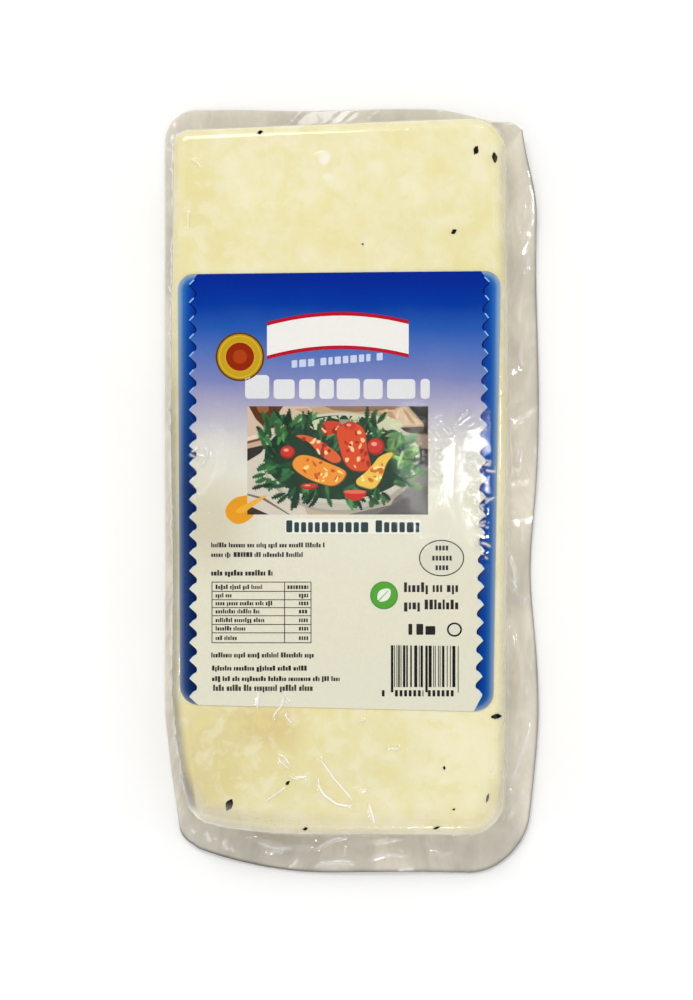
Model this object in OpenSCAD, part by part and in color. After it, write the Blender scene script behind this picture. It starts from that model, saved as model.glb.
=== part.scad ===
// Catering block of halloumi cheese, vacuum packed in clear film.
// The pack lies on its flat face with the printed label up. +Y points to the
// head of the label, +X to its right, +Z up, and the origin is the middle of
// the footprint, flange included, on the surface that the pack rests on.
//   pack  - the shut film pouch with the cheese in it, and its seal flange
//   label - the paper label that lies on the cheese's upper face

/* [Cheese block] */
// Width of the block, across the label
block_w = 123; // [90:1:150]
// Length of the block, along the label
block_l = 261; // [200:1:300]
// Height of the block at its middle
block_h = 29.5; // [20:0.5:40]
// Rounding of the upper edges
edge_r = 4.5; // [2:0.5:7]
// Corner radius at the head end, right
corner_head_right = 13; // [4:0.5:18]
// Corner radius at the head end, left
corner_head_left = 6; // [4:0.5:18]
// Corner radius at the foot end, left
corner_foot_left = 7; // [4:0.5:18]
// Corner radius at the foot end, right
corner_foot_right = 12; // [4:0.5:18]
// How far the left wall draws in towards the foot
foot_taper = 7; // [0:0.5:9]
// How much longer the block is on its right side than on its left, at the head
head_skew = 5; // [0:0.5:8]
// How far the left corner of the foot is cut back
foot_cut = 6; // [0:0.5:9]
// Fall of the upper face from its middle to its rim
crown = 0.7; // [0:0.1:1.5]
// Height of the slow swells in the upper face
swell = 0.16; // [0:0.02:0.3]
// Outward bow of the walls at half height
wall_bow = 0.7; // [0:0.1:1.5]

/* [Film flange] */
// Width of the flange on the right
flange_right = 13.5; // [8:0.5:20]
// Width of the film gathered along the left wall
flange_left = 4.6; // [3:0.2:8]
// Width of the flange at the head
flange_head = 9.5; // [6:0.5:20]
// Width of the flange at the foot
flange_foot = 18.5; // [8:0.5:26]
// Thickness of the two sealed webs with their creases
flange_t = 0.8; // [0.4:0.1:1.4]
// Height of the flange above the surface, at its middle plane
flange_z = 2; // [1.2:0.1:4]
// Height of the ripples along the flange
ripple = 0.9; // [0:0.1:1.1]
// How far the head-right corner of the flange stands up
corner_lift = 5; // [0:0.5:9]
// How far that raised corner is drawn in
corner_draw = 6.5; // [0:0.5:8]
// Depth of the shallow dent in the right edge
edge_dent = 2; // [0:0.25:4]
// How much the foot-left corner of the flange is cut away
corner_cut = 10; // [0:0.5:16]

/* [Label] */
// Width of the label at its head
label_w = 118; // [80:1:119]
// Length of the label along its left side
label_l = 158; // [110:1:180]
// How much longer its right side is
label_flare = 4; // [0:0.5:6]
// How much narrower its foot is
label_narrow = 2.6; // [0:0.2:5]
// Radius of its corners
label_r = 6.2; // [2:0.2:12]
// Thickness of the paper
label_t = 0.3; // [0.2:0.05:0.5]

/* [Hidden] */

hw = block_w / 2;
hl = block_l / 2;

// Columns of points round a ring: steps in each corner, and along each side.
// The sides run head, left, foot, right.
corner_n = 6;
side_n = [12, 24, 12, 24];
span_n = [for (n = side_n) n + corner_n];
ring_n = span_n[0] + span_n[1] + span_n[2] + span_n[3];

function clamp01(t) = min(1, max(0, t));
function smooth(t) = let (c = clamp01(t)) c * c * (3 - 2 * c);
function mix(a, b, t) = a + (b - a) * t;
function bump(t) = exp(-t * t);

// One point of a rectangle with rounded corners. e holds the reach to the
// left, right, foot and head; r holds the corner radii, head right first and
// then anticlockwise; k is the corner, and j counts on from its start.
function corner_mid(e, r, k) =
    k == 0 ? [e[1] - r[0], e[3] - r[0]] :
    k == 1 ? [-e[0] + r[1], e[3] - r[1]] :
    k == 2 ? [-e[0] + r[2], -e[2] + r[2]] :
             [e[1] - r[3], -e[2] + r[3]];
function on_corner(e, r, k, j) =
    let (a = 90 * k + 90 * j / corner_n)
    corner_mid(e, r, k) + r[k] * [cos(a), sin(a)];
function span_of(i) =
    i < span_n[0] ? 0 :
    i < span_n[0] + span_n[1] ? 1 :
    i < span_n[0] + span_n[1] + span_n[2] ? 2 : 3;
function span_start(k) =
    k == 0 ? 0 :
    k == 1 ? span_n[0] :
    k == 2 ? span_n[0] + span_n[1] :
             span_n[0] + span_n[1] + span_n[2];
function ring_point(e, r, i) =
    let (k = span_of(i), j = i - span_start(k))
    j <= corner_n ? on_corner(e, r, k, j) :
    let (f = (j - corner_n) / side_n[k])
    mix(on_corner(e, r, k, corner_n), on_corner(e, r, (k + 1) % 4, 0), f);

// Hand-cut unevenness of the block: the left wall draws in towards the foot,
// the head edge runs askew, and the left corner of the foot is cut back.
function uneven(p) =
    let (x = p[0], y = p[1],
         leftward = clamp01(-x / hw), footward = clamp01((-y - 0.6 * hl) / (0.4 * hl)),
         rightward = clamp01(x / hw),
         slow = 0.5 * sin(y * 1.9 + 40) * rightward
              - 0.4 * sin(y * 2.3 + 10) * leftward)
    [x + slow + foot_taper * leftward * pow(footward, 1.2)
       - 2 * rightward * pow(footward, 1.5),
     y + head_skew / 2 * (x / hw) * smooth(y / hl)
       + foot_cut * pow(leftward, 3) * smooth(footward)];

block_reach = [hw, hw, hl, hl];
block_corners = [corner_head_right, corner_head_left,
                 corner_foot_left, corner_foot_right];

// A ring of the block, drawn in by d.
function block_ring(d, i) =
    uneven(ring_point([for (v = block_reach) v - d],
                      [for (r = block_corners) max(0.6, r - d)], i));

// Height of the block's upper face over the point [x, y] of the block.
function top_z(x, y) =
    block_h - crown * (0.5 * pow(x / hw, 2) + 0.5 * pow(y / hl, 4))
    + swell * sin(2.4 * x + 1.1 * y + 30) + swell * sin(1.7 * y - 1.3 * x);

// The flange's outline: a wider rounded rectangle, drawn in where the head
// corner on the right stands up and where the corners of the foot slant.
flange_reach = [hw + flange_left, hw + flange_right,
                hl + flange_foot, hl + flange_head];
flange_corners = [6, 12, 8, 22];
function flange_edge(i) =
    let (p = ring_point(flange_reach, flange_corners, i),
         x = p[0], y = p[1],
         rightward = smooth(x / (hw + flange_right)),
         leftward = clamp01(-x / hw),
         headward = smooth((y - 0.76 * hl) / (0.28 * hl)),
         footward = clamp01((-y - 0.68 * hl) / (0.44 * hl)))
    [x - corner_draw * rightward * headward
       + foot_taper * 0.85 * leftward * footward
       - 4.4 * rightward * pow(footward, 1.3)
       - edge_dent * rightward * bump((y + 0.27 * hl) / 26)
       + 0.5 * sin(3.1 * y) * rightward,
     y - 5 * rightward * smooth((y - hl) / 8) * smooth((x - 0.6 * hw) / (0.5 * hw))
       + corner_cut * pow(leftward, 2.2) * smooth((-y - 0.78 * hl) / (0.36 * hl))
       + 0.3 * sin(4.3 * x) * (1 - leftward)];

// Height of the flange's middle plane at the point p, f of the way out from
// the wall: ripples along it, and the head corner on the right standing up.
function flange_mid(p, f) =
    let (x = p[0], y = p[1],
         right_corner = smooth((x - 0.45 * hw) / (0.65 * hw))
                      * smooth((y - 0.55 * hl) / (0.5 * hl)))
    flange_z + ripple * f * (0.55 * sin(5.3 * x + 2.1 * y)
                           + 0.45 * sin(3.7 * y - 4.9 * x + 50))
    + corner_lift * right_corner * smooth(f * 1.05);

// The rings of the pack, from under its middle, out along the flange's lower
// side, back along its upper side, up the wall and over the rim.
function shrunk(s, i) = let (p = block_ring(edge_r, i)) [s * p[0], s * p[1]];
function flat_under(s, i) = let (p = block_ring(3, i)) [s * p[0], s * p[1], 0];
function flange_at(f, side, i) =
    let (a = block_ring(-0.6, i), b = flange_edge(i), p = mix(a, b, f),
         z = flange_mid(p, f))
    [p[0], p[1], z + side * flange_t / 2];
function wall(d, u, i) =
    let (p = block_ring(d, i), q = block_ring(edge_r, i),
         foot = flange_z + flange_t / 2, head = top_z(q[0], q[1]) - edge_r)
    [p[0], p[1], mix(foot, head, u)];
function rim(a, i) =
    let (p = block_ring(edge_r * (1 - cos(a)), i), q = block_ring(edge_r, i))
    [p[0], p[1], top_z(q[0], q[1]) - edge_r * (1 - sin(a))];
function face(s, i) =
    let (p = shrunk(s, i)) [p[0], p[1], top_z(p[0], p[1])];

pack_rings = [
    for (s = [0.5, 1]) [for (i = [0 : ring_n - 1]) flat_under(s, i)],
    [for (i = [0 : ring_n - 1]) let (p = block_ring(1, i)) [p[0], p[1], 0.5]],
    for (f = [0, 0.5, 1]) [for (i = [0 : ring_n - 1]) flange_at(f, -1, i)],
    for (f = [1, 0.5, 0.12]) [for (i = [0 : ring_n - 1]) flange_at(f, 1, i)],
    [for (i = [0 : ring_n - 1]) wall(-0.4, 0.08, i)],
    [for (i = [0 : ring_n - 1]) wall(-wall_bow, 0.5, i)],
    for (a = [0, 30, 60]) [for (i = [0 : ring_n - 1]) rim(a, i)],
    for (s = [1, 0.88, 0.74, 0.6, 0.45, 0.3, 0.15])
        [for (i = [0 : ring_n - 1]) face(s, i)]
];

// The label's outline, a little longer on its right and narrower at its foot.
label_x = -0.2;
label_y = -4.2;
label_reach = [label_w / 2, label_w / 2, label_l / 2, label_l / 2];
label_corners = [label_r, label_r, label_r * 1.1, label_r * 1.05];
function label_point(i) =
    let (p = ring_point(label_reach, label_corners, i),
         u = p[0] / label_w, v = p[1] / label_l)
    [p[0] + label_x + (v - 0.5) * label_narrow * (u + 0.15),
     p[1] + label_y + v * label_flare * (u + 0.5) * (v > 0 ? 0.5 : 1.4)];
function label_ring(s, lift, i) =
    let (c = [label_x, label_y], p = c + s * (label_point(i) - c))
    [p[0], p[1], top_z(p[0], p[1]) + lift];
label_gap = 0.03;
label_rings = [
    for (s = [0.25, 0.5, 0.75, 1])
        [for (i = [0 : ring_n - 1]) label_ring(s, label_gap, i)],
    for (s = [1, 0.75, 0.5, 0.25])
        [for (i = [0 : ring_n - 1]) label_ring(s, label_gap + label_t, i)]
];

// A closed solid from a stack of rings and the two points that shut it.
module skinned(rings, first, last) {
    m = len(rings);
    pts = [for (r = rings) for (p = r) p, first, last];
    function at(a, i) = a * ring_n + i % ring_n;
    sides = [for (a = [0 : m - 2]) for (i = [0 : ring_n - 1])
        for (t = [[at(a, i), at(a + 1, i), at(a + 1, i + 1)],
                  [at(a, i), at(a + 1, i + 1), at(a, i + 1)]]) t];
    floor_fan = [for (i = [0 : ring_n - 1]) [m * ring_n, at(0, i), at(0, i + 1)]];
    roof_fan = [for (i = [0 : ring_n - 1])
        [m * ring_n + 1, at(m - 1, i + 1), at(m - 1, i)]];
    polyhedron(points = pts, faces = concat(floor_fan, sides, roof_fan),
               convexity = 6);
}

// The origin is the middle of the whole footprint, flange included.
pack_x = [for (r = pack_rings) for (p = r) p[0]];
pack_y = [for (r = pack_rings) for (p = r) p[1]];
to_middle = [-(min(pack_x) + max(pack_x)) / 2, -(min(pack_y) + max(pack_y)) / 2, 0];

// The shut pouch: cheese and tight film as one solid, with the seal flange.
module pack() {
    color([0.94, 0.91, 0.74])
    translate(to_middle)
    skinned(pack_rings, [0, 0, 0], [0, 0, top_z(0, 0)]);
}

// The printed label on the upper face.
module label() {
    color([0.16, 0.35, 0.68])
    translate(to_middle)
    skinned(label_rings,
            [label_x, label_y, top_z(label_x, label_y) + label_gap],
            [label_x, label_y, top_z(label_x, label_y) + label_gap + label_t]);
}

pack();
label();
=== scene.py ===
"""Looks of the vacuum-packed halloumi block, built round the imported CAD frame.

The pack solid is replaced by the cheese block and the clear film pouch round
it, the label solid by a paper label with its print. Lengths below are in
millimetres until a mesh is made. "Plan" coordinates (u, v) are millimetres
from the point of the pack that lies under the camera, u to the label's right
and v to its head.
"""

import math
import random

import bpy
import numpy as np
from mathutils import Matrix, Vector, noise
from mathutils.geometry import delaunay_2d_cdt


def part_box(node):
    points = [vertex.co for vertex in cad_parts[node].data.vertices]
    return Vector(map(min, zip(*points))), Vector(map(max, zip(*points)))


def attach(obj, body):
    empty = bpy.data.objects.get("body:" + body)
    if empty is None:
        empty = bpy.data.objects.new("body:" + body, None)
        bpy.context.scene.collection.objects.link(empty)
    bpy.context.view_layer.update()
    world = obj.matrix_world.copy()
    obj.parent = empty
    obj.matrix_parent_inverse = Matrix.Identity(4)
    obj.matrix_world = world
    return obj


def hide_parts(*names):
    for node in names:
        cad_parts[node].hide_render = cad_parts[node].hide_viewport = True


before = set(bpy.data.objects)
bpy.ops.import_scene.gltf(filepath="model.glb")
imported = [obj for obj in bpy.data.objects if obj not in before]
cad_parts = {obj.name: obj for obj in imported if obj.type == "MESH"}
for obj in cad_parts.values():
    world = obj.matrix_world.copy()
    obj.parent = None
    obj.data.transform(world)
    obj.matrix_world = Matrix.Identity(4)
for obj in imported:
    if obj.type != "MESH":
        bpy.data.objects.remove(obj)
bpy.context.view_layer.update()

MM = 0.001
D2R = math.pi / 180

# ------------------------------------------------------------------ sizes
BLOCK_W, BLOCK_L, BLOCK_H, EDGE_R = 123.0, 261.0, 29.5, 4.5
HW, HL = BLOCK_W / 2, BLOCK_L / 2
BLOCK_CORNERS = (13.0, 6.0, 7.0, 12.0)  # head right, head left, foot left, foot right
FOOT_TAPER, HEAD_SKEW, FOOT_CUT = 7.0, 5.0, 6.0
CROWN, SWELL, WALL_BOW = 0.7, 0.16, 0.7
FL_RIGHT, FL_LEFT, FL_HEAD, FL_FOOT = 13.5, 4.6, 9.5, 18.5
FL_T, FL_Z, RIPPLE = 0.8, 2.0, 0.9
CORNER_LIFT, CORNER_DRAW, EDGE_DENT, CORNER_CUT = 5.0, 6.5, 2.0, 10.0
FL_CORNERS = (6.0, 12.0, 8.0, 22.0)
# The camera's foot, seen from the middle of the block's footprint
FOOT_OF_CAMERA = (2.65, -7.8)
EYE_H = 729.5


def clamp01(t):
    return np.clip(t, 0, 1)


def smooth(t):
    c = clamp01(t)
    return c * c * (3 - 2 * c)


def sind(a):
    return np.sin(np.asarray(a) * D2R)


def cosd(a):
    return np.cos(np.asarray(a) * D2R)


# ------------------------------------------------- outlines, as in the CAD
class Columns:
    """The columns of points that every ring shares: steps round each corner
    and along each side (head, left, foot, right)."""

    def __init__(self, corner_n, side_n):
        arc, k_, a_, f_ = [], [], [], []
        for k in range(4):
            for j in range(corner_n + 1):
                arc.append(True)
                k_.append(k)
                a_.append(90 * k + 90 * j / corner_n)
                f_.append(0)
            for j in range(1, side_n[k]):
                arc.append(False)
                k_.append(k)
                a_.append(0)
                f_.append(j / side_n[k])
        self.arc = np.array(arc)
        self.k = np.array(k_)
        self.a = np.array(a_, float)
        self.f = np.array(f_, float)
        self.n = len(arc)

    def ring(self, reach, radii):
        """reach: left, right, foot, head; radii: head right first, then anticlockwise."""
        l, r, b, t = reach
        r0, r1, r2, r3 = radii
        mid = np.array(
            [[r - r0, t - r0], [-l + r1, t - r1], [-l + r2, -b + r2], [r - r3, -b + r3]]
        )
        rad = np.array(radii, float)
        ends = np.array([90.0, 180.0, 270.0, 360.0])
        on_arc = mid[self.k] + rad[self.k][:, None] * np.stack(
            [cosd(self.a), sind(self.a)], 1
        )
        k2 = (self.k + 1) % 4
        e = ends[self.k]
        d = np.stack([cosd(e), sind(e)], 1)
        a = mid[self.k] + rad[self.k][:, None] * d
        b_ = mid[k2] + rad[k2][:, None] * d
        on_side = a + (b_ - a) * self.f[:, None]
        return np.where(self.arc[:, None], on_arc, on_side)


def uneven(p):
    x, y = p[:, 0], p[:, 1]
    leftward, rightward = clamp01(-x / HW), clamp01(x / HW)
    footward = clamp01((-y - 0.6 * HL) / (0.4 * HL))
    slow = 0.5 * sind(y * 1.9 + 40) * rightward - 0.4 * sind(y * 2.3 + 10) * leftward
    return np.stack(
        [
            x
            + slow
            + FOOT_TAPER * leftward * footward**1.2
            - 2 * rightward * footward**1.5,
            y
            + HEAD_SKEW / 2 * (x / HW) * smooth(y / HL)
            + FOOT_CUT * leftward**3 * smooth(footward),
        ],
        1,
    )


def block_ring(cols, d):
    return uneven(
        cols.ring(
            [v - d for v in (HW, HW, HL, HL)], [max(0.6, r - d) for r in BLOCK_CORNERS]
        )
    )


def flange_edge(cols):
    p = cols.ring((HW + FL_LEFT, HW + FL_RIGHT, HL + FL_FOOT, HL + FL_HEAD), FL_CORNERS)
    x, y = p[:, 0], p[:, 1]
    rightward, leftward = smooth(x / (HW + FL_RIGHT)), clamp01(-x / HW)
    headward = smooth((y - 0.76 * HL) / (0.28 * HL))
    footward = clamp01((-y - 0.68 * HL) / (0.44 * HL))
    return np.stack(
        [
            x
            - CORNER_DRAW * rightward * headward
            + FOOT_TAPER * 0.85 * leftward * footward
            - 4.4 * rightward * footward**1.3
            - EDGE_DENT * rightward * np.exp(-(((y + 0.27 * HL) / 26) ** 2))
            + 0.5 * sind(3.1 * y) * rightward,
            y
            - 5 * rightward * smooth((y - HL) / 8) * smooth((x - 0.6 * HW) / (0.5 * HW))
            + CORNER_CUT * leftward**2.2 * smooth((-y - 0.78 * HL) / (0.36 * HL))
            + 0.3 * sind(4.3 * x) * (1 - leftward),
        ],
        1,
    )


def top_z(x, y):
    """Height of the pack's upper face over block coordinates."""
    return (
        BLOCK_H
        - CROWN * (0.5 * (x / HW) ** 2 + 0.5 * (y / HL) ** 4)
        + SWELL * sind(2.4 * x + 1.1 * y + 30)
        + SWELL * sind(1.7 * y - 1.3 * x)
    )


def flange_mid(x, y, f):
    corner = smooth((x - 0.45 * HW) / (0.65 * HW)) * smooth(
        (y - 0.55 * HL) / (0.5 * HL)
    )
    return (
        FL_Z
        + RIPPLE
        * f
        * (
            0.55 * sind(5.3 * x + 2.1 * y)
            + 0.45 * sind(3.7 * y - 4.9 * x + 50)
        )
        + CORNER_LIFT * corner * smooth(f * 1.05)
    )


# The block's middle in the frame: the frame's origin is the middle of the
# flange's own box.
_probe = flange_edge(Columns(12, [60, 120, 60, 120]))
TO_MIDDLE = -(_probe.min(0) + _probe.max(0)) / 2
_lo, _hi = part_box("pack")
if (
    abs((_hi.x - _lo.x) / MM - np.ptp(_probe[:, 0])) > 0.6
    or abs((_hi.y - _lo.y) / MM - np.ptp(_probe[:, 1])) > 0.6
):
    raise SystemExit("the packed model isn't the size that this script was made for")
TO_MIDDLE = TO_MIDDLE + np.array(
    [(_hi.x + _lo.x) / 2 / MM, (_hi.y + _lo.y) / 2 / MM]
)
EYE = TO_MIDDLE + np.array(FOOT_OF_CAMERA)


def plan(p):
    """Plan (u, v) to block coordinates."""
    return np.asarray(p, float) + np.array(FOOT_OF_CAMERA)


# ------------------------------------------------------------ small helpers
def snoise(x, y, z, scale, seed=0.0):
    """Smooth seeded noise in about -1..1 at each point; scale is in mm."""
    out = np.empty(len(x))
    for i, (a, b, c) in enumerate(zip(x, y, z)):
        out[i] = noise.noise(
            Vector((a / scale + seed, b / scale - seed * 0.7, c / scale + seed * 1.3))
        )
    return out


def make_object(name, verts, faces, smooth_shade=True, attrs=None):
    """A mesh object from points in block coordinates, in millimetres."""
    v = np.asarray(verts, float).copy()
    v[:, 0] += TO_MIDDLE[0]
    v[:, 1] += TO_MIDDLE[1]
    me = bpy.data.meshes.new(name)
    me.from_pydata((v * MM).tolist(), [], faces)
    me.validate(clean_customdata=False)
    if smooth_shade:
        me.polygons.foreach_set("use_smooth", [True] * len(me.polygons))
    for key, values in (attrs or {}).items():
        at = me.attributes.new(key, "FLOAT", "POINT")
        at.data.foreach_set("value", np.asarray(values, np.float32))
    me.update()
    ob = bpy.data.objects.new(name, me)
    bpy.context.scene.collection.objects.link(ob)
    return ob


def in_poly(px, py, poly):
    """Which points lie inside the closed polygon."""
    inside = np.zeros(len(px), bool)
    x, y = poly[:, 0], poly[:, 1]
    x2, y2 = np.roll(x, -1), np.roll(y, -1)
    for a, b, c, d in zip(x, y, x2, y2):
        if b == d:
            continue
        hit = ((b > py) != (d > py)) & (px < (c - a) * (py - b) / (d - b) + a)
        inside ^= hit
    return inside


def dist_to_path(px, py, path):
    """Distance to a polyline, and how far along it, from 0 to 1."""
    path = np.asarray(path, float)
    seg = np.diff(path, axis=0)
    ln = np.hypot(seg[:, 0], seg[:, 1])
    total = ln.sum()
    best = np.full(len(px), 1e9)
    along = np.zeros(len(px))
    run = 0.0
    for (ax, ay), (sx, sy), l in zip(path[:-1], seg, ln):
        if l < 1e-9:
            continue
        t = np.clip(((px - ax) * sx + (py - ay) * sy) / (l * l), 0, 1)
        d = np.hypot(px - ax - t * sx, py - ay - t * sy)
        hit = d < best
        best = np.where(hit, d, best)
        along = np.where(hit, (run + t * l) / total, along)
        run += l
    return best, along


def rounded_path(path, step):
    """Points every `step` along a polyline whose corners are softened."""
    p = np.asarray(path, float)
    for _ in range(2):
        q = [p[0]]
        for a, b in zip(p[:-1], p[1:]):
            q += [a * 0.75 + b * 0.25, a * 0.25 + b * 0.75]
        q.append(p[-1])
        p = np.array(q)
    seg = np.hypot(*np.diff(p, axis=0).T)
    s = np.concatenate([[0], np.cumsum(seg)])
    n = max(2, int(s[-1] / step) + 1)
    t = np.linspace(0, s[-1], n)
    return np.stack([np.interp(t, s, p[:, 0]), np.interp(t, s, p[:, 1])], 1)


# --------------------------------------------------------------- the camera
cam_data = bpy.data.cameras.new("camera")
cam_data.sensor_fit = "VERTICAL"
cam_data.sensor_height = 24.0
cam_data.lens = 12.0 / (182.5 / 700.0)
cam_data.clip_start = 0.01
cam_data.clip_end = 20
camera = bpy.data.objects.new("camera", cam_data)
camera.location = (EYE[0] * MM, EYE[1] * MM, EYE_H * MM)
bpy.context.scene.collection.objects.link(camera)
bpy.context.scene.camera = camera

# ---------------------------------------------------------------- wrinkles
# Creases of the tight film over the upper face: plan points, height, width.
TOP_CREASES = [
    ([(-32.0, -70.0), (-32.4, -73.0), (-32.7, -76.2)], 0.42, 0.75),
    ([(-22.8, -70.2), (-23.5, -74.8), (-26.5, -78.5), (-26.5, -81.2)], 0.4, 0.55),
    ([(-22.8, -70.2), (-20.6, -74.3)], 0.35, 0.5),
    ([(-21.7, -77.0), (-22.1, -79.2), (-19.4, -81.9)], 0.35, 0.55),
    ([(-25.2, -93.2), (-22.8, -93.6), (-20.2, -97.2)], 0.36, 0.55),
    ([(-25.2, -93.2), (-24.3, -95.5), (-21.2, -98.0), (-20.2, -97.2)], 0.36, 0.5),
    ([(-21.9, -100.2), (-18.8, -101.8), (-13.5, -101.0)], 0.34, 0.55),
    ([(-30.8, -110.8), (-25.7, -107.3), (-21.2, -104.2)], 0.36, 0.55),
    ([(-11.0, -93.0), (-7.8, -97.1), (-4.2, -102.2), (-0.2, -106.6), (3.4, -111.4)], 0.42, 0.6),
    ([(-10.9, -101.2), (-10.0, -104.8), (-8.2, -107.7), (-3.6, -111.0), (0.2, -111.7), (3.4, -111.4)], 0.5, 0.8),
    ([(15.0, -90.2), (17.3, -90.9), (19.8, -90.5)], 0.3, 0.9),
    ([(3.3, -81.2), (5.3, -80.3), (7.0, -81.0)], 0.25, 0.7),
    ([(7.8, -110.0), (8.9, -113.5), (9.7, -115.7), (10.3, -119.2)], 0.42, 0.8),
    ([(2.0, -104.4), (4.9, -106.2), (8.4, -105.8)], 0.28, 0.55),
    ([(54.6, -92.2), (56.2, -91.4), (57.4, -93.4), (55.3, -96.4), (52.0, -99.5)], 0.34, 0.7),
    ([(-56.6, 124.2), (-54.9, 123.4), (-53.3, 122.1)], 0.3, 0.5),
    ([(-57.4, 105.8), (-57.7, 102.2), (-57.9, 98.2)], 0.3, 0.5),
    ([(46.0, 140.0), (50.2, 136.5), (54.9, 132.9), (56.6, 130.4)], 0.4, 0.6),
    ([(54.5, 135.6), (57.3, 134.2)], 0.3, 0.5),
    ([(-64.0, 135.2), (-63.5, 132.5), (-63.0, 130.4)], 0.35, 0.5),
    ([(-62.9, 134.5), (-62.2, 132.9), (-61.4, 130.8)], 0.35, 0.5),
    ([(-38.0, -118.8), (-36.6, -120.3)], 0.3, 0.45),
    ([(-32.0, -119.9), (-30.7, -117.0)], 0.3, 0.45),
    ([(-60.2, -111.2), (-57.8, -109.8)], 0.3, 0.45),
    ([(-63.4, 6.4), (-63.6, 0.0), (-63.4, -7.5)], 0.3, 0.6),
    ([(25.0, -103.0), (31.0, -104.6), (38.0, -103.4)], 0.16, 1.2),
    ([(-52.0, -88.0), (-46.5, -93.0), (-43.0, -99.0)], 0.16, 1.2),
    ([(38.0, -84.0), (44.0, -88.0), (47.0, -94.0)], 0.16, 1.3),
]
# The same on the flange
FLANGE_CREASES = [
    ([(-12.3, -139.6), (-10.8, -138.3), (-8.5, -137.9), (-0.6, -137.4), (4.7, -137.7)], 0.5, 0.6),
    ([(19.5, -140.2), (22.2, -139.6), (25.9, -139.6)], 0.4, 0.6),
    ([(-50.2, -128.6), (-49.0, -127.9)], 0.4, 0.5),
    ([(-45.4, -128.2), (-46.0, -131.0), (-44.5, -132.8)], 0.45, 0.6),
    ([(-20.3, -138.4), (-18.4, -136.0)], 0.4, 0.45),
    ([(-21.8, -139.4), (-20.4, -138.1)], 0.4, 0.45),
    ([(-0.6, -131.1), (-0.9, -135.2)], 0.35, 0.5),
    ([(-30.2, -134.2), (-27.0, -132.9), (-23.5, -133.6)], 0.3, 0.6),
    ([(30.0, -133.0), (36.5, -134.4), (41.0, -133.2)], 0.25, 0.8),
    ([(70.3, -84.7), (68.8, -89.0), (67.2, -93.2), (65.3, -98.5), (63.1, -105.3), (61.2, -108.0), (59.3, -109.7)], 0.5, 0.6),
    ([(59.3, -109.9), (60.8, -111.2), (63.7, -110.4)], 0.45, 0.6),
    ([(60.4, -18.9), (61.2, -21.2), (63.3, -26.5), (64.0, -30.3), (64.0, -34.3)], 0.45, 0.6),
    ([(62.6, -29.5), (64.2, -33.0), (62.6, -35.6)], 0.45, 0.7),
    ([(60.2, -7.6), (61.2, -9.8), (62.5, -11.9)], 0.4, 0.5),
    ([(66.5, -9.5), (66.5, -17.0)], 0.3, 0.5),
    ([(69.6, -36.4), (67.6, -37.4), (66.9, -40.5)], 0.4, 0.45),
    ([(66.2, -35.8), (66.0, -40.0)], 0.3, 0.4),
    ([(64.6, -88.3), (63.8, -93.9)], 0.35, 0.5),
    ([(67.2, -109.9), (65.7, -111.8)], 0.35, 0.5),
    ([(60.4, -119.3), (59.3, -120.8)], 0.35, 0.5),
    ([(61.6, -115.9), (62.9, -118.2), (61.2, -120.7)], 0.5, 0.8),
    ([(56.2, -112.8), (57.3, -114.6)], 0.35, 0.5),
    ([(-66.8, 137.6), (-65.9, 134.6), (-64.9, 131.9)], 0.45, 0.5),
    ([(-64.8, 138.2), (-63.6, 135.8)], 0.35, 0.45),
    ([(68.6, -71.0), (68.0, -74.2)], 0.35, 0.5),
    ([(69.9, -62.0), (69.6, -65.0)], 0.3, 0.4),
    ([(47.0, 141.8), (51.2, 139.6), (55.0, 136.6)], 0.35, 0.6),
    ([(66.5, 60.0), (66.0, 54.5), (66.9, 50.0)], 0.3, 0.6),
    ([(68.9, 92.0), (68.2, 86.0)], 0.3, 0.6),
    ([(63.2, 24.0), (64.6, 18.5), (64.2, 13.0)], 0.3, 0.6),
    ([(-44.0, -131.2), (-42.6, -133.6)], 0.3, 0.5),
    ([(-58.6, -124.9), (-57.2, -126.6)], 0.3, 0.5),
    ([(66.4, 78.0), (65.2, 72.0), (65.0, 66.0)], 0.3, 0.5),
    ([(64.2, 108.0), (65.0, 101.0)], 0.35, 0.5),
    ([(-66.9, 20.0), (-66.4, 12.0), (-66.8, 4.0)], 0.35, 0.5),
    ([(-66.6, -40.0), (-66.0, -52.0), (-66.4, -60.0)], 0.35, 0.5),
    ([(-65.6, -84.0), (-64.2, -92.0), (-63.6, -99.0)], 0.4, 0.5),
    ([(8.0, -136.5), (16.0, -134.0), (24.0, -134.8)], 0.4, 0.6),
    ([(-12.5, -133.0), (-9.3, -130.8), (-4.3, -128.2), (1.3, -127.2)], 0.5, 0.65),
    ([(-53.0, -126.0), (-51.5, -129.5)], 0.45, 0.6),
    ([(-34.0, -129.5), (-28.0, -131.8), (-20.0, -132.2)], 0.4, 0.6),
    # broad soft folds
    ([(5.5, -129.3), (16.0, -127.5), (27.1, -124.5), (41.9, -123.0)], 0.9, 1.7),
    ([(-38.0, -126.5), (-24.0, -130.0), (-10.0, -130.5)], 0.8, 1.8),
    ([(63.0, -48.0), (65.5, -66.0), (64.0, -84.0)], 0.6, 1.5),
]
# The rumpled patch where the film doesn't lie flat on the label's right side
RUMPLES = [((48.5, 8.0), (5.0, 14.0), 24), ((50.0, -14.0), (2.6, 9.0), 10), ((32.5, 17.0), (4.0, 12.0), 14), ((41.0, 28.0), (6.0, 6.0), 7), ((-53.0, 16.0), (3.0, 5.0), 7)]

rng = random.Random(4127)


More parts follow.
